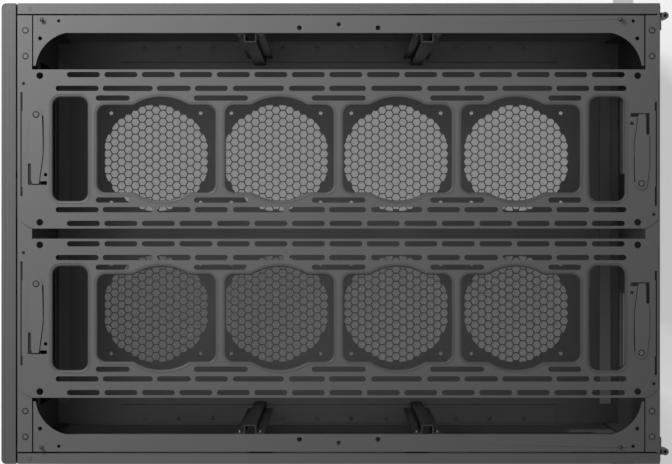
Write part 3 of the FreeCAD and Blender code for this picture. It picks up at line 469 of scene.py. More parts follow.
def make_finishes(colours):
    """Every material of the case, by the name that the pieces use."""
    # The frame, brackets and levers are black powder coat; their mid grey base colour is painted sheen of the
    # lamps on the top faces.
    FINISHES["coat"] = powder_coat("satin_coat_painted_sheen", tuple(colours.coat), 0.42)
    # The same black coat inside the case, set darker than the frame's: painted shade of the interior.
    FINISHES["inner"] = powder_coat("inner_coat_painted_shade", tuple(colours.inner), 0.3)
    FINISHES["lever"] = powder_coat("lever_coat_painted_sheen", tuple(colours.lever), 0.42)
    FINISHES["bezel"] = moulded("bezel_plastic", tuple(colours.bezel), 0.5)
    FINISHES["mesh"] = powder_coat("front_mesh_coat", tuple(colours.mesh), 0.45)
    FINISHES["black_screw"] = brushed("black_zinc", (0.06, 0.06, 0.063), 0.4)
    FINISHES["dull_screw"] = brushed("dull_zinc", (0.2, 0.2, 0.205), 0.45)
    # The struts' coat set near black: painted shade inside the case.
    FINISHES["strut"] = powder_coat("strut_coat_painted_shade", (0.008, 0.008, 0.0085), 0.4)
    FINISHES["bright_screw"] = brushed("bright_zinc", (0.55, 0.55, 0.56), 0.3)
    FINISHES["filter"] = woven_filter("woven_filter_nylon", tuple(colours.filter), (0.02, 0.42))
    # A darker, denser copy of the filter nylon for the right filter: painted shade.
    FINISHES["filter_shaded"] = woven_filter("shaded_filter_nylon", tuple(0.7 * c for c in colours.filter),
                                          (0.2, 0.75))
    FINISHES["dark_cloth"] = moulded("front_filter_foam", (0.012, 0.012, 0.012), 0.9)
    FINISHES["pane"] = tinted_pane("smoked_pane", (0.008, 0.008, 0.009))
    FINISHES["magnet"] = moulded("magnet_shell", (0.03, 0.03, 0.03), 0.6)
    FINISHES["button"] = moulded("button_cap", (0.04, 0.04, 0.045), 0.25)
    FINISHES["foot"] = moulded("foot_plastic", (0.05, 0.05, 0.05), 0.55)
    FINISHES["pad"] = moulded("pad_rubber", (0.03, 0.03, 0.03), 0.85)


FINISH_NODES = {
    "coat": "front_wall rear_wall top_rail_left top_rail_right radiator_bracket_left radiator_bracket_right "
            "hinge_brackets door_left door_right door_hinges_left door_hinges_right",
    "inner": "floor_pan floor_rail_left floor_rail_right slot_covers_left slot_covers_right psu_frames",
    "strut": "strut_left_front strut_right_front strut_left_rear strut_right_rear",
    "lever": "lever_left_front lever_left_rear lever_right_front lever_right_rear",
    "bezel": "front_bezel bezel_clips bay_covers io_panel",
    "mesh": "front_mesh_left front_mesh_right",
    "filter": "dust_filter_left dust_filter_right",
    "pane": "door_window_left door_window_right",
    "magnet": "door_magnets_left door_magnets_right",
    "button": "power_button_left power_button_right reset_button_left reset_button_right",
    "bright_screw": "ball_studs strut_screws hinge_pins usb_ports audio_jacks",
    "black_screw": "flange_screws lever_pivots slot_screws psu_screws",
    "foot": "feet",
    "pad": "foot_pads",
}


class CaseSizes(bpy.types.PropertyGroup):
    """The sizes of the pierced sheets that a user would change."""

    slot_height: FloatProperty(name="Slot height", description="Height of the bracket's screw slots",
                               default=5.5 * MM, unit="LENGTH")
    window_lip: FloatProperty(name="Window lip", description="How far the turned edge of a window drops",
                              default=6.0 * MM, unit="LENGTH")
    bend: FloatProperty(name="Bend radius", description="Radius of a turned sheet edge",
                        default=2.5 * MM, unit="LENGTH")
    crease: FloatProperty(name="Crease", description="Width of the line pressed in where a bend starts",
                          default=0.9 * MM, unit="LENGTH")
    vent_radius: FloatProperty(name="Vent radius", description="Radius of a honeycomb vent",
                               default=62.4 * MM, unit="LENGTH")
    cell_pitch: FloatProperty(name="Cell pitch", description="Distance between the rows of a honeycomb",
                              default=9.33 * MM, unit="LENGTH")
    cell_hole: FloatProperty(name="Cell opening", description="Width across the flats of a honeycomb cell",
                             default=8.15 * MM, unit="LENGTH")


class CaseColours(bpy.types.PropertyGroup):
    """The colours of the case's finishes."""

    # Coat and Levers: the real coat is black; their grey defaults are painted sheen of the lamps on the top
    # faces.
    coat: FloatVectorProperty(name="Coat", description="Powder coat of the frame and the brackets",
                              default=(0.165, 0.165, 0.168), subtype="COLOR", size=3)
    # Inner coat: the same black coat set darker than it is, painted shade inside the case.
    inner: FloatVectorProperty(name="Inner coat", description="Black coat inside the case",
                               default=(0.008, 0.008, 0.0083), subtype="COLOR", size=3)
    lever: FloatVectorProperty(name="Levers", description="Coat of the latch levers",
                               default=(0.17, 0.17, 0.173), subtype="COLOR", size=3)
    bezel: FloatVectorProperty(name="Bezel", description="Plastic of the front bezel",
                               default=(0.14, 0.14, 0.143), subtype="COLOR", size=3)
    mesh: FloatVectorProperty(name="Front mesh", description="Coat of the front mesh",
                              default=(0.035, 0.035, 0.035), subtype="COLOR", size=3)
    filter: FloatVectorProperty(name="Filter", description="Nylon of the dust filters",
                                default=(0.33, 0.33, 0.34), subtype="COLOR", size=3)


class CaseStage(bpy.types.PropertyGroup):
    """The camera and the lights."""

    camera_height: FloatProperty(name="Camera height", description="Height of the camera above the brackets",
                                 default=4.28, unit="LENGTH")
    lens: FloatProperty(name="Lens", description="Focal length on a 36 mm wide sensor",
                        default=223.0, unit="CAMERA")
    key_power: FloatProperty(name="Key power", description="Power of the key light", default=92.0,
                             unit="POWER")


def window_outline(x, left, right):
    """A fan opening: a rounded rectangle with an arc of the fan's circle above and below.

    Each arc meets the straight edge in a small rounding of the sheet's corner.
    """
    height, corner, bulge, blend = 44.6 * MM, 8.5 * MM, 52.9 * MM, 4.6 * MM
    blend_x = math.sqrt((bulge + blend) ** 2 - (height + blend) ** 2)
    turn = math.degrees(math.atan2(blend_x, height + blend))
    side = np.concatenate([
        arc(right - corner, height - corner, corner, 0, 90, 7),
        arc(blend_x, height + blend, blend, 270, 270 - turn, 5),
        arc(0, 0, bulge, 90 - turn, 90 + turn, 15)[1:-1],
        arc(-blend_x, height + blend, blend, 270 + turn, 270, 5),
        arc(left + corner, height - corner, corner, 90, 180, 7),
    ])
    lower = half_turned(np.concatenate([
        arc(-left - corner, height - corner, corner, 0, 90, 7),
        arc(blend_x, height + blend, blend, 270, 270 - turn, 5),
        arc(0, 0, bulge, 90 - turn, 90 + turn, 15)[1:-1],
        arc(-blend_x, height + blend, blend, 270 + turn, 270, 5),
        arc(-right + corner, height - corner, corner, 90, 180, 7),
    ]))
    return moved(np.concatenate([side, lower]), x, 0)


def bracket_slots(height):
    """The three rows of slots, above and below the fan openings."""
    spans = []
    for k in range(15):
        middle = 7.3 + (k - 7) * 38.55
        spans.append((middle - 17.0, middle + 17.0, 76.5))
    starts = (-291.1, -242.7, -187.1, -148.0, -108.8, -51.2, -10.0, 33.3, 90.9, 129.0, 168.1, 223.7, 261.8)
    ends = (-246.8, -191.2, -152.1, -114.0, -56.3, -14.1, 28.1, 85.8, 124.9, 164.0, 219.6, 257.7, 295.8)
    spans += [(a, b, 62.4) for a, b in zip(starts, ends)]
    spans += [(a, b, 52.4) for a, b in ((-249.9, -214.9), (-149.0, -93.4), (-27.8, 27.8), (94.0, 149.6),
                                        (215.5, 249.5))]
    upper = [slot_outline(a * MM, b * MM, y * MM, height) for a, b, y in spans]
    return upper + [mirrored_y(outline) for outline in upper]


def latch_cuts():
    """The cuts round the front latch of a bracket: travel slot and leg, stop hole, relief and hook slit."""
    travel = np.array([(-319.6, -34.9), (-319.6, -36.9), (-318.2, -36.9), (-315.8, -36.9), (-300.0, -36.9),
                       (-300.0, -33.1), (-316.6, -33.1), (-316.6, -15.6), (-318.1, -14.6), (-319.6, -15.6)]) * MM
    relief = np.array([(-303.6, 34.0), (-303.2, 12.0), (-303.4, -5.2), (-307.2, -32.6), (-308.6, -32.6),
                       (-304.9, -5.0), (-304.7, 12.0), (-305.1, 34.0)])[::-1] * MM
    stop = ring(-301.4 * MM, -26.4 * MM, 1.85 * MM, 18)
    slit = np.array([(-327.2, -39.0), (-327.3, -48.5), (-325.0, -48.5), (-325.0, -39.0),
                     (-325.9, -39.0), (-325.9, 39.0), (-325.0, 39.0), (-325.0, 58.5), (-327.3, 58.5),
                     (-327.2, 39.0)]) * MM
    spot = ring(-324.1 * MM, 67.3 * MM, 1.7 * MM, 16)
    return [travel, relief, stop, slit, spot, ring(-PIVOT_X, PIVOT_Y, 2.1 * MM, 20)]


def bracket_outline(half_x, half_y):
    """The bracket's outer edge, its corners cut in a shallow curve."""
    cut_x, cut_y = 14.0 * MM, 9.5 * MM
    t = np.linspace(0, 1, 6)
    bow = 1.2 * MM * np.sin(np.pi * t)
    corner = np.column_stack([half_x - t * cut_x + bow * 0.5, half_y - cut_y + t * cut_y + bow])
    corner[:, 1] = np.minimum(corner[:, 1], half_y)
    corner[:, 0] = np.minimum(corner[:, 0], half_x)
    upper = np.concatenate([corner, (corner * np.array([-1, 1]))[::-1]])
    return np.concatenate([upper, half_turned(upper)])


class CASE_OT_brackets(bpy.types.Operator):
    """Build the two radiator brackets"""

    bl_idname = "case.brackets"
    bl_label = "Radiator brackets"

    def execute(self, context):
        sizes = context.scene.case_sizes
        top = BRACKET_HIGH[2]
        low = top - 1.3 * MM
        half_x = (BRACKET_HIGH[0] - BRACKET_LOW[0]) / 2
        half_y = (BRACKET_HIGH[1] - BRACKET_LOW[1]) / 2
        bend, wall = sizes.bend, 1.0 * MM
        windows = []
        for k, x in enumerate(FAN_X):
            left = -55.3 * MM - (10.5 * MM if k == 0 else 0)
            right = 55.3 * MM + (10.5 * MM if k == 3 else 0)
            windows.append(window_outline(x, left, right))
        for x in (-END_WINDOW_X, END_WINDOW_X):
            windows.append(rounded(x - 18.0 * MM, x + 18.0 * MM, -53.3 * MM, 53.3 * MM, 8.5 * MM))
        foot = top - sizes.window_lip
        turn = np.radians(np.linspace(90, 0, 7))
        face = [(bend * (1 - math.cos(a)), top - bend * (1 - math.sin(a))) for a in turn]
        back = [(wall + (bend - wall) * (1 - math.cos(a)), top - wall - (bend - wall) * (1 - math.sin(a)))
                for a in turn[::-1]]
        outside = bend + sizes.crease
        lip = face + [(0.0, foot), (wall, foot)] + back
        lip += [(bend, low), (outside, low), (outside, top - 0.8 * MM), (bend, top - 0.8 * MM)]
        shells = []
        for window in windows:
            shells.append(rim(window, lip[::-1]))
        holes = [grown(window, bend + sizes.crease) for window in windows]
        holes += bracket_slots(sizes.slot_height)
        holes += latch_cuts() + [half_turned(cut) for cut in latch_cuts()]
        for x in (-307.4 * MM, 307.4 * MM):
            for y in (-75.4 * MM, 75.4 * MM):
                holes.append(ring(x, y, 3.5 * MM))
        shells.append(sheet(bracket_outline(half_x, half_y), holes, low, top))
        reach = half_x - 15.1 * MM
        deep = BRACKET_LOW[2]
        for side in (-1, 1):
            edge = side * half_y
            inner = edge - side * 1.4 * MM
            first, second = sorted((edge, inner))
            shells.append(box_shell((-reach, first, deep), (reach, second, low)))
        for name in ("left", "right"):
            middle = bracket_middle(name)
            placed = [shifted(shell, MIDDLE_X, middle) for shell in shells]
            piece("bracket_sheet_" + name, placed, FINISHES["coat"], "case", ["radiator_bracket_" + name])
            # Thin dark strips under the ends of each bracket, below its slits and holes: a dark sheet put where
            # there is only shade, painted shade so the slits read as deep.
            slit_shade = [sheet(square(x0 + MIDDLE_X, x1 + MIDDLE_X, middle - 70.0 * MM, middle + 70.0 * MM), [],
                          low - 0.18 * MM, low - 0.04 * MM)
                    for x0, x1 in ((-half_x + 0.4 * MM, -315.6 * MM), (315.6 * MM, half_x - 0.4 * MM))]
            piece("bracket_slit_shade_" + name, slit_shade, FINISHES["pad"], "case")
        return {"FINISHED"}


class CASE_OT_floor(bpy.types.Operator):
    """Build the floor with its eight fine honeycomb vents"""

    bl_idname = "case.floor"
    bl_label = "Floor"

    def execute(self, context):
        sizes = context.scene.case_sizes
        top = FLOOR_HIGH[2]
        low = FLOOR_LOW[2]
        holes = []
        for x in VENT_X:
            for y in (-VENT_Y, VENT_Y):
                holes += honeycomb(x, y, sizes.vent_radius, sizes.cell_pitch, sizes.cell_hole)
                for dx in (-FAN_SCREW, FAN_SCREW):
                    for dy in (-FAN_SCREW, FAN_SCREW):
                        holes.append(ring(x + dx, y + dy, 2.2 * MM, 12))
        outline = square(FLOOR_LOW[0], FLOOR_HIGH[0], FLOOR_LOW[1], FLOOR_HIGH[1])
        shells = [sheet(outline, holes, top - SHEET, top)]
        section = [(0, top - SHEET), (0, low), (SHEET, low), (SHEET, top - SHEET)]
        shells.append(rim(outline, [(-a, z) for a, z in section]))
        sill = box_shell((FLOOR_LOW[0], FLOOR_HIGH[1] - SHEET, low),
                         (FLOOR_HIGH[0], FLOOR_HIGH[1] + 13.0 * MM, low + SHEET))
        shells += [sill, other_side(sill)]
        piece("floor_sheet", shells, FINISHES["inner"], "case", ["floor_pan"], smooth=20)
        ends = []
        for x0, x1 in ((FLOOR_LOW[0], FLOOR_LOW[0] + 13.5 * MM),
                       (FLOOR_HIGH[0] - 22.0 * MM, FLOOR_HIGH[0] - 9.0 * MM)):
            ends.append(box_shell((x0, -0.2, top + 0.1 * MM), (x1, 0.2, top + 1.4 * MM)))
        piece("floor_flanges", ends, FINISHES["coat"], "case", smooth=20, bevel=0.4 * MM)
        return {"FINISHED"}


def cross(x, y, reach, width):
    """The outline of a cross recess."""
    half = width / 2
    arm = [(reach, -half), (reach, half), (half, half)]
    turns = [(1, 0), (0, 1), (-1, 0), (0, -1)]
    points = [(px * c - py * s, px * s + py * c) for c, s in turns for px, py in arm]
    return moved(np.array(points), x, y)


def pan_screw(x, y, z, radius, height, recess=True):
    """A low screw head that stands on z: a domed disc with a cross recess in its flat top."""
    core = radius * 0.8
    side = [(0.0, z), (radius - core, z), (radius - core, z + height * 0.45), (0.0, z + height)]
    shells = [rim(ring(x, y, core, 24), side[::-1])]
    top = [cross(x, y, radius * 0.66, radius * 0.38)] if recess else []
    shells.append(sheet(ring(x, y, core, 24), top, z, z + height))
    shells.append(turned([(0.0, z), (core * 0.9, z), (core * 0.9, z + height * 0.1), (0.0, z + height * 0.25)],
                         x, y, 16))
    return shells


def ring_washer(x, y, z, inner, outer, height):
    """A flat ring that lies on z with a softened edge."""
    edge = height * 0.3
    profile = [(0.0, z), (outer - inner, z), (outer - inner, z + height - edge),
               (outer - inner - edge, z + height), (0.0, z + height)]
    return rim(ring(x, y, inner, 28), profile[::-1])


class CASE_OT_rails(bpy.types.Operator):
    """Build the two top rails with their gussets"""

    bl_idname = "case.rails"
    bl_label = "Top rails"

    def execute(self, context):
        low, high = node_box("top_rail_left")
        top = high[2]
        end = 314.3 * MM
        outer, inner = high[1], high[1] - 18.2 * MM
        rise, run = 38.6 * MM, 39.2 * MM
        reach = 39.5 * MM
        centre_x, centre_y = end - 42.0 * MM, inner - rise
        start = math.degrees(math.atan2(rise, math.sqrt(reach ** 2 - rise ** 2)))
        stop = math.degrees(math.atan2(math.sqrt(reach ** 2 - run ** 2), run))
        bow = arc(centre_x, centre_y, reach, stop, start, 22)
        outline = np.concatenate([
            np.array([(end, outer), (-end, outer), (-end, bow[0, 1])]), (bow * np.array([-1, 1])),
            bow[::-1], np.array([(end, bow[0, 1])]),
        ])
        places = [(-287.9, 12.4, 1.6), (302.9, 12.4, 1.6), (-307.2, -5.6, 2.0), (307.2, -5.6, 2.0),
                  (-40.4, 5.4, 2.4), (0.0, 9.0, 2.1), (40.4, 5.4, 2.4)]
        holes = [ring(x * MM, inner + y * MM, radius * MM, 18) for x, y, radius in places]
        skin = sheet(outline, holes, top - SHEET, top)
        web = box_shell((-end, outer - SHEET, top - 25.0 * MM), (end, outer, top - SHEET))
        lip = box_shell((-end + 42.0 * MM, inner, top - 14.0 * MM),
                        (end - 42.0 * MM, inner + SHEET, top - SHEET))
        shells = [shifted(shell, MIDDLE_X) for shell in (skin, web, lip)]
        piece("rail_left", shells, FINISHES["coat"], "case", ["top_rail_left"], bevel=0.35 * MM)
        shells = [other_side(shell) for shell in shells]
        piece("rail_right", shells, FINISHES["coat"], "case", ["top_rail_right"], bevel=0.35 * MM)
        return {"FINISHED"}


def lever_outline():
    """A latch lever about its pivot: a swelling arm with a round head and a stepped foot."""
    back = np.array([(-6.2, 0.4), (-7.0, -9.0), (-7.9, -17.0), (-8.2, -23.0), (-8.2, -47.0), (-7.7, -49.2),
                     (-5.3, -50.8), (-5.0, -51.8), (-4.6, -70.4), (-3.9, -71.3)])
    front_side = np.array([(2.5, -71.4), (3.1, -70.6), (4.9, -57.0), (6.8, -43.5), (7.2, -38.0), (7.1, -30.0),
                           (7.0, -22.0), (6.6, -8.0), (6.2, 0.4)])
    dome = arc(0, 0, 6.2, 4, 176, 16)
    return np.concatenate([back, front_side, dome]) * MM


class CASE_OT_levers(bpy.types.Operator):
    """Build the four latch levers with their pivot screws"""

    bl_idname = "case.levers"
    bl_label = "Latch levers"

    def execute(self, context):
        top = BRACKET_HIGH[2]
        low, high = top + 0.3 * MM, top + 1.8 * MM
        arm = sheet(lever_outline(), [ring(0, 0, 2.1 * MM, 20)], low, high)
        tab = box_shell((-3.5 * MM, -71.3 * MM, top - 7.5 * MM), (2.5 * MM, -69.9 * MM, low))
        pivots, seats = [], []
        for side in ("left", "right"):
            middle = bracket_middle(side)
            for end, turn in (("front", 1), ("rear", -1)):
                x, y = MIDDLE_X - PIVOT_X * turn, middle + PIVOT_Y * turn
                made = []
                for points, faces in (arm, tab):
                    made.append((points * np.array([turn, turn, 1]) + np.array([x, y, 0]), faces))
                name = "lever_" + side + "_" + end
                piece(name + "_arm", made, FINISHES["lever"], name + "_body", [name], bevel=0.3 * MM)
                pivots.append(turned([(0, top - 6 * MM), (2.0 * MM, top - 6 * MM), (2.0 * MM, high + 0.3 * MM),
                                      (0, high + 0.3 * MM)], x, y, 20))
                pivots += pan_screw(x, y, high + 0.3 * MM, 2.8 * MM, 1.1 * MM)
                seats.append(ring_washer(x, y, high + 0.05 * MM, 2.3 * MM, 3.6 * MM, 0.25 * MM))
        piece("pivot_screws", pivots, FINISHES["dull_screw"], "case", ["lever_pivots"], smooth=40)
        piece("pivot_washers", seats, FINISHES["black_screw"], "case", smooth=40)
        return {"FINISHED"}


class CASE_OT_screws(bpy.types.Operator):
    """Build the screws, ball studs and pins that are seen from above"""

    bl_idname = "case.screws"
    bl_label = "Screws and studs"

    def execute(self, context):
        top = FRONT_HIGH[2]
        flange, seats = [], []
        for x in (-FLANGE_SCREW_X, FLANGE_SCREW_X):
            for y in FLANGE_SCREW_Y:
                flange += pan_screw(x + MIDDLE_X, y, top + 0.05 * MM, 2.6 * MM, 0.8 * MM)
                seats.append(ring_washer(x + MIDDLE_X, y, top, 2.7 * MM, 3.5 * MM, 0.2 * MM))
        piece("flange_screw_heads", flange, FINISHES["dull_screw"], "case", ["flange_screws"], smooth=40)
        piece("flange_screw_seats", seats, FINISHES["black_screw"], "case")
        studs = []
        for x in STUD_X:
            for y in (-STUD_Y, STUD_Y):
                profile = [(0, 0), (1.2, 0), (1.2, 3.2), (1.9, 3.9), (2.2, 4.9), (2.0, 6.0), (1.3, 6.8),
                           (0.7, 7.0), (0.5, 6.3), (0, 6.2)]
                studs.append(turned([(a * MM, top + b * MM) for a, b in profile], x + MIDDLE_X, y, 24))
        piece("ball_stud_pins", studs, FINISHES["dull_screw"], "case", ["ball_studs"], smooth=60)
        low, high = node_box("hinge_pins")
        pins = []
        radius = (high[0] - low[0]) / 2
        x = high[0] - radius
        for z0, z1 in PIN_LEVELS:
            for y in (high[1] - radius, low[1] + radius):
                tube = [(0.0, z0), (0.7 * MM, z0), (0.7 * MM, z1), (0.0, z1)]
                pins.append(rim(ring(x, y, radius - 0.7 * MM, 24), tube[::-1]))
        piece("hollow_hinge_pins", pins, FINISHES["black_screw"], "case", ["hinge_pins"], smooth=40)
        small = []
        for x in (-STRUT_X, STRUT_X):
            for hand in (-1, 1):
                for side in (-1, 1):
                    shell = turned([(0, 0), (2.3 * MM, 0), (2.3 * MM, 0.9 * MM), (1.5 * MM, 2.3 * MM),
                                    (0, 2.4 * MM)], 0, 0, 16)
                    points, faces = turned_to(shell, 1)
                    place = np.array([x + hand * 10.6 * MM + MIDDLE_X, 204.8 * MM, 641.0 * MM])
                    made = (points * np.array([1, -1, 1]) + place, [face[:, ::-1] for face in faces])
                    small.append(made if side == 1 else other_side(made))
        piece("strut_screw_heads", small, FINISHES["dull_screw"], "case", ["strut_screws"], smooth=50)
        for side, hand in (("left", 1), ("right", -1)):
            low, high = node_box("door_" + side)
            x, y = EDGE_SCREW_X + MIDDLE_X, hand * EDGE_SCREW_Y
            heads = pan_screw(x, y, high[2] + 0.05 * MM, 1.7 * MM, 0.5 * MM)
            heads.append(ring_washer(x, y, high[2] + 0.02 * MM, 2.0 * MM, 2.5 * MM, 0.2 * MM))
            piece("door_edge_screw_" + side, heads, FINISHES["dull_screw"], side + "_door", smooth=40)
        return {"FINISHED"}


class CASE_OT_front(bpy.types.Operator):
    """Build the front bezel, its bay covers and the two fine meshes"""

    bl_idname = "case.front"
    bl_label = "Front"

    def execute(self, context):
        low, high = node_box("front_bezel")
        x0, x1 = low[0], high[0]
        half, bottom, top = high[1], low[2], high[2]
        wall, corner = 3.0 * MM, 5.0 * MM
        panel = square(-45.0 * MM, 45.0 * MM, 560.0 * MM, 620.0 * MM)
        tall = square(60.0 * MM, 212.0 * MM, 44.0 * MM, 628.0 * MM)
        face = square(-half + corner, half - corner, bottom, top)
        shells = [standing(face, [tall, mirrored_x(tall), panel], x0, x0 + wall)]
        bend = arc(x0 + corner, half - corner, corner, 90, 180, 8)
        inside = arc(x0 + corner, half - corner, corner - wall, 180, 90, 8)
        side = np.concatenate([np.array([(x1, half)]), bend, inside, np.array([(x1, half - wall)])])
        shells.append(sheet(side, [], bottom, top))
        shells.append(other_side(shells[-1]))
        lid = square(x0 + wall, x1, -half + wall, half - wall)
        grooves = [square(x0 + a * MM, x0 + b * MM, -half + 8 * MM, half - 8 * MM)
                   for a, b in ((4.6, 5.0), (8.2, 8.7), (11.9, 12.5))]
        shells.append(sheet(lid, grooves, top - 0.5 * MM, top))
        shells.append(sheet(lid, [], top - wall, top - 0.5 * MM))
        shells.append(sheet(lid, [], bottom, bottom + wall))
        piece("bezel_shell", shells, FINISHES["bezel"], "case", ["front_bezel"], bevel=0.35 * MM)
        covers = []
        for hand in (-1, 1):
            y0, y1 = sorted((hand * 60.4 * MM, hand * 211.6 * MM))
            for k in range(3):
                upper = 627.7 * MM - k * 43.2 * MM
                plate = rounded(y0, y1, upper - 42.0 * MM, upper, 2.0 * MM)
                middle = (y0 + y1) / 2
                grip = slot_outline(middle - 30.0 * MM, middle + 30.0 * MM, upper - 21.0 * MM, 8.0 * MM)
                covers.append(standing(plate, [grip], x0 + 1.0 * MM, x0 + 3.5 * MM))
                back = square(y0 + 4.0 * MM, y1 - 4.0 * MM, upper - 38.0 * MM, upper - 4.0 * MM)
                covers.append(standing(back, [], x0 + 5.5 * MM, x0 + 6.3 * MM))
        piece("bay_plates", covers, FINISHES["bezel"], "case", ["bay_covers"], bevel=0.4 * MM)
        for name in ("front_mesh_left", "front_mesh_right"):
            low, high = node_box(name)
            y0, y1, z0, z1 = low[1], high[1], low[2], high[2]
            pitch, border = 6.0 * MM, 7.0 * MM
            columns = int((y1 - y0 - 2 * border) / pitch)
            rows = int((z1 - z0 - 2 * border) / (pitch * 0.866))
            column, row = np.meshgrid(np.arange(columns), np.arange(rows), indexing="ij")
            y = (y0 + y1) / 2 + (column - (columns - 1) / 2 + 0.25 - 0.5 * (row % 2)) * pitch
            z = (z0 + z1) / 2 + (row - (rows - 1) / 2) * pitch * 0.866
            centre = np.stack([y.ravel(), z.ravel()], axis=1)
            hexagon = arc(0, 0, 2.6 * MM, 30, 330, 6)
            cells = list(centre[:, None, :] + hexagon[None, :, :])
            near = low[0]
            skin = standing(rounded(y0, y1, z0, z1, 2.0 * MM), cells, near, near + 1.2 * MM)
            edge = rim(rounded(y0 + 1.2 * MM, y1 - 1.2 * MM, z0 + 1.2 * MM, z1 - 1.2 * MM, 1.2 * MM),
                       [(0.0, near + 1.2 * MM), (1.2 * MM, near + 1.2 * MM), (1.2 * MM, high[0]),
                        (0.0, high[0])][::-1])
            piece(name + "_sheet", [skin, turned_to(edge, 0)], FINISHES["mesh"], "case", [name], smooth=20)
            cloth = square(y0 + 1.5 * MM, y1 - 1.5 * MM, z0 + 1.5 * MM, z1 - 1.5 * MM)
            piece(name + "_cloth", [standing(cloth, [], near + 2.2 * MM, near + 2.8 * MM)],
                  FINISHES["dark_cloth"], "case")
        return {"FINISHED"}


def slot_level(k):
    """The height of the middle of an expansion slot, counted from the top."""
    return SLOT_TOP - (k + 0.5) * SLOT_PITCH


def thumb_screw(x, y, z):
    """A knurled head that lies along X: its radius goes in and out around the rim, its end is domed."""
    count = 48
    angle = np.linspace(0, 2 * math.pi, count, endpoint=False)
    knurl = np.where(np.arange(count) % 4 < 2, 1.0, 0.9)
    profile = np.array([(0.0, 0.0), (2.7, 0.0), (2.95, 0.3), (2.95, 2.3), (2.5, 2.7), (1.2, 2.7), (0.9, 2.2),
                        (0.0, 2.2)]) * MM
    inner = profile[1:-1]
    reach = inner[None, :, 0] * np.where((inner[:, 0] > 2.6 * MM)[None, :], knurl[:, None], 1.0)
    points = np.stack([np.cos(angle)[:, None] * reach, np.sin(angle)[:, None] * reach,
                       np.broadcast_to(inner[None, :, 1], reach.shape)], axis=-1)
    return shifted(turned_to(capped(points, (0, 0, profile[0, 1]), (0, 0, profile[-1, 1])), 0), x, y, z)


class CASE_OT_rear(bpy.types.Operator):
    """Build the rear wall with its two fine honeycomb vents and the screws on it"""

    bl_idname = "case.rear"
    bl_label = "Rear"

    def execute(self, context):
        sizes = context.scene.case_sizes
        far, near = REAR_HIGH[0], REAR_HIGH[0] - SHEET
        half, bottom, top = REAR_HIGH[1], REAR_LOW[2], REAR_HIGH[2]
        holes = []
        for hand in (-1, 1):
            openings = [(12.0, 56.5, 462.0, 620.8), (69.0, 155.0, 66.0, 216.0)]
            levels = [slot_level(k) / MM for k in range(8)]
            openings += [(12.0, 116.0, level - 7.0, level + 7.0) for level in levels]
            for y0, y1, z0, z1 in openings:
                left, right = sorted((hand * y0 * MM, hand * y1 * MM))
                holes.append(square(left, right, z0 * MM, z1 * MM))
            centre_y, centre_z = hand * 155.3 * MM, 541.0 * MM
            holes += honeycomb(centre_y, centre_z, 60.0 * MM, sizes.cell_pitch, sizes.cell_hole)
            for dy in (-FAN_SCREW, FAN_SCREW):
                for dz in (-FAN_SCREW, FAN_SCREW):
                    holes.append(ring(centre_y + dy, centre_z + dz, 2.2 * MM, 16))
        shells = [standing(square(-half, half, bottom, top), holes, near, far)]
        start = REAR_LOW[0]
        shells.append(box_shell((start, -half, top - SHEET), (near, half, top)))
        side = box_shell((start, half - SHEET, bottom), (near, half, top - SHEET))
        shells += [side, other_side(side)]
        piece("rear_sheet", shells, FINISHES["coat"], "case", ["rear_wall"], smooth=20)
        thumbs = []
        for hand in (-1, 1):
            for k in range(8):
                thumbs.append(thumb_screw(far, hand * 120.0 * MM, slot_level(k)))
        piece("slot_thumb_screws", thumbs, FINISHES["black_screw"], "case", ["slot_screws"], smooth=25)
        corners = []
        for hand in (-1, 1):
            for dy in (-49.0, 49.0):
                for z in (60.0, 222.0):
                    corners.append(thumb_screw(far + 2.0 * MM, (hand * 112.0 + dy) * MM, z * MM))
        piece("supply_thumb_screws", corners, FINISHES["black_screw"], "case", ["psu_screws"], smooth=25)
        return {"FINISHED"}


class CASE_OT_feet(bpy.types.Operator):
    """Build the four feet and their pads"""

    bl_idname = "case.feet"
    bl_label = "Feet"

    def execute(self, context):
        feet, pads = [], []
        for x in (-FOOT_X, FOOT_X):
            for y in (-FOOT_Y, FOOT_Y):
                body = [(0, 4.0), (18.4, 4.0), (19.3, 4.6), (20.0, 6.5), (20.0, 34.0), (19.4, 36.6), (18.0, 38.5),
                        (0, 38.5)]
                feet.append(turned([(a * MM, b * MM) for a, b in body], x + MIDDLE_X, y, 48))
                pad = [(0, 0.0), (15.6, 0.0), (16.5, 0.9), (16.5, 4.0), (0, 4.0)]
                pads.append(turned([(a * MM, b * MM) for a, b in pad], x + MIDDLE_X, y, 48))
        piece("round_feet", feet, FINISHES["foot"], "case", ["feet"], smooth=40)
        piece("round_pads", pads, FINISHES["pad"], "case", ["foot_pads"], smooth=40)
        return {"FINISHED"}


class CASE_OT_filters(bpy.types.Operator):
    """Build the two dust filters: a frame with cross bars and an open woven sheet"""

    bl_idname = "case.filters"
    bl_label = "Dust filters"

    def execute(self, context):
        for name in ("dust_filter_left", "dust_filter_right"):
            low, high = node_box(name)
            x0, x1, y0, y1 = low[0], high[0], low[1], high[1]
            edge, bar = 9.0 * MM, 5.0 * MM
            cells = []
            step = (x1 - x0 - 2 * edge + bar) / 4
            for k in range(4):
                left = x0 + edge + k * step
                cells.append(rounded(left, left + step - bar, y0 + edge, y1 - edge, 3.0 * MM))
            frame_shell = sheet(rounded(x0, x1, y0, y1, 4.0 * MM), cells, low[2], high[2])
            piece(name + "_frame", [frame_shell], FINISHES["foot"], "case", [name], bevel=0.4 * MM)
            middle = (low[2] + high[2]) / 2
            cloth = box_shell((x0 + edge - MM, y0 + edge - MM, middle - 0.2 * MM),
                              (x1 - edge + MM, y1 - edge + MM, middle + 0.2 * MM))
            # The right filter takes the darker copy of the nylon: painted shade.
            key = "filter" if name.endswith("left") else "filter_shaded"
            piece(name + "_cloth", [cloth], FINISHES[key], "case")
        return {"FINISHED"}


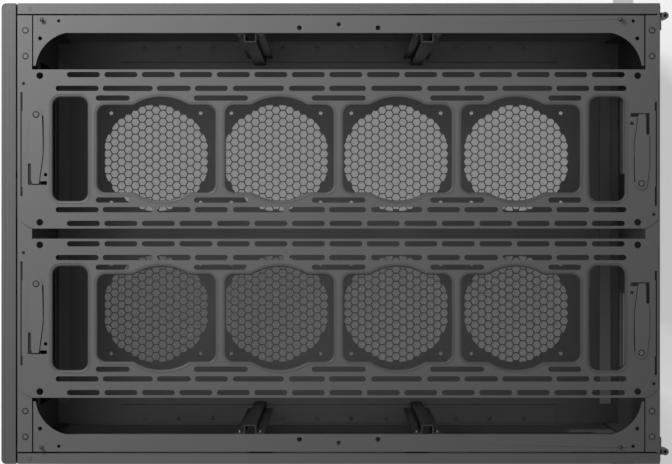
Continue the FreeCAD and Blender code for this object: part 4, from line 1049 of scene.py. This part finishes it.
class CASE_OT_finishes(bpy.types.Operator):
    """Give every solid its finish"""

    bl_idname = "case.finishes"
    bl_label = "Finishes"

    def execute(self, context):
        make_finishes(context.scene.case_colours)
        for key, names in FINISH_NODES.items():
            for node in names.split():
                target = NODES[node]
                if not target.material_slots:
                    target.data.materials.append(FINISHES[key])
                for slot in target.material_slots:
                    slot.material = FINISHES[key]
        return {"FINISHED"}


def area_light(name, place, size, power, aim):
    """A square soft light at a place, turned to a point."""
    data = bpy.data.lights.new(name, "AREA")
    data.shape = "SQUARE"
    data.size = size
    data.energy = power
    lamp = bpy.data.objects.new(name, data)
    bpy.context.scene.collection.objects.link(lamp)
    lamp.location = place
    direction = np.array(aim, dtype=float) - np.array(place, dtype=float)
    direction /= np.linalg.norm(direction)
    tilt = math.acos(max(-1.0, min(1.0, -direction[2])))
    lamp.rotation_euler = (tilt, 0.0, math.atan2(direction[0], -direction[1]) if tilt > 1e-6 else 0.0)


class CASE_OT_stage(bpy.types.Operator):
    """Set up the floor, the lights and the camera"""

    bl_idname = "case.stage"
    bl_label = "Stage"

    def execute(self, context):
        stage = context.scene.case_stage
        scene = context.scene
        scene.view_settings.view_transform = "Standard"
        material, tree, shader = finish("studio_floor", (0.86, 0.86, 0.86), 0.9)
        path = tree.nodes.new("ShaderNodeLightPath")
        mirrored = tree.nodes.new("ShaderNodeMath")
        mirrored.operation = "MAXIMUM"
        tree.links.new(path.outputs["Is Transmission Ray"], mirrored.inputs[0])
        tree.links.new(path.outputs["Is Glossy Ray"], mirrored.inputs[1])
        seen = tree.nodes.new("ShaderNodeMath")
        seen.operation = "MAXIMUM"
        tree.links.new(path.outputs["Is Camera Ray"], seen.inputs[0])
        tree.links.new(mirrored.outputs["Value"], seen.inputs[1])
        place = tree.nodes.new("ShaderNodeTexCoord")
        parts = tree.nodes.new("ShaderNodeSeparateXYZ")
        tree.links.new(place.outputs["Object"], parts.inputs["Vector"])
        # The strip along the rear wall's foot loses its glow: a painted shade on the floor.
        foot = tree.nodes.new("ShaderNodeMath")
        foot.operation = "COMPARE"
        foot.inputs[1].default_value = SHADE_STRIP_X
        foot.inputs[2].default_value = SHADE_STRIP_HALF
        tree.links.new(parts.outputs["X"], foot.inputs[0])
        lit = tree.nodes.new("ShaderNodeMath")
        lit.operation = "SUBTRACT"
        lit.use_clamp = True
        tree.links.new(seen.outputs["Value"], lit.inputs[0])
        tree.links.new(foot.outputs["Value"], lit.inputs[1])
        tree.links.new(ranged(tree, lit.outputs["Value"], 0.0, 0.42), shader.inputs["Emission Strength"])
        shader.inputs["Emission Color"].default_value = (1.0, 1.0, 1.0, 1.0)
        corner = 8.0
        mesh = bpy.data.meshes.new("studio_floor")
        mesh.from_pydata([(-corner, -corner, 0), (corner, -corner, 0), (corner, corner, 0), (-corner, corner, 0)],
                         [], [(0, 1, 2, 3)])
        mesh.materials.append(material)
        ground = bpy.data.objects.new("studio_floor", mesh)
        scene.collection.objects.link(ground)
        world = bpy.data.worlds.new("studio_world")
        world.use_nodes = True
        scene.world = world
        sky = world.node_tree
        background = sky.nodes["Background"]
        background.inputs["Color"].default_value = (1.0, 1.0, 1.0, 1.0)
        path = sky.nodes.new("ShaderNodeLightPath")
        sky.links.new(ranged(sky, path.outputs["Is Camera Ray"], 0.13, 1.0), background.inputs["Strength"])
        top = BRACKET_HIGH[2]
        area_light("key_light", (-0.9, 1.0, top + 1.5), 0.7, stage.key_power, (-0.1, 0.1, top))
        area_light("top_light", (-0.1, 0.1, top + 4.9), 1.4, 24.0, (0, 0, 0))
        area_light("front_light", (-3.2, -2.2, 1.8), 2.0, 30.0, (0, 0, 0.35))
        area_light("rear_light", (3.0, 2.6, 1.9), 2.0, 20.0, (0, 0, 0.35))
        data = bpy.data.cameras.new("camera")
        data.sensor_width = 36.0
        data.lens = stage.lens
        data.clip_end = 50.0
        camera = bpy.data.objects.new("camera", data)
        scene.collection.objects.link(camera)
        camera.location = (CAMERA_X, CAMERA_Y, top + stage.camera_height)
        scene.camera = camera
        return {"FINISHED"}


class CASE_PT_panel(bpy.types.Panel):
    """Every step of the case, in order"""

    bl_idname = "CASE_PT_panel"
    bl_label = "Cube case"
    bl_space_type = "VIEW_3D"
    bl_region_type = "UI"
    bl_category = "Cube Case"

    def draw(self, context):
        layout = self.layout
        for group in (context.scene.case_sizes, context.scene.case_colours, context.scene.case_stage):
            column = layout.column()
            for name in group.__annotations__:
                column.prop(group, name)
        for operator in OPERATORS:
            layout.operator(operator.bl_idname)


OPERATORS = (CASE_OT_finishes, CASE_OT_brackets, CASE_OT_rails, CASE_OT_levers, CASE_OT_screws,
             CASE_OT_front, CASE_OT_rear, CASE_OT_floor, CASE_OT_filters, CASE_OT_feet, CASE_OT_stage)
CLASSES = (CaseSizes, CaseColours, CaseStage, *OPERATORS, CASE_PT_panel)


def register():
    """Register the classes and hang the settings on the scene."""
    for item in CLASSES:
        bpy.utils.register_class(item)
    bpy.types.Scene.case_sizes = PointerProperty(type=CaseSizes)
    bpy.types.Scene.case_colours = PointerProperty(type=CaseColours)
    bpy.types.Scene.case_stage = PointerProperty(type=CaseStage)


def unregister():
    """Take the settings and the classes away again."""
    del bpy.types.Scene.case_sizes
    del bpy.types.Scene.case_colours
    del bpy.types.Scene.case_stage
    for item in reversed(CLASSES):
        bpy.utils.unregister_class(item)


def main():
    """Run every step in order."""
    register()
    for operator in OPERATORS:
        group, name = operator.bl_idname.split(".")
        getattr(getattr(bpy.ops, group), name)()


if __name__ == "__main__":
    main()
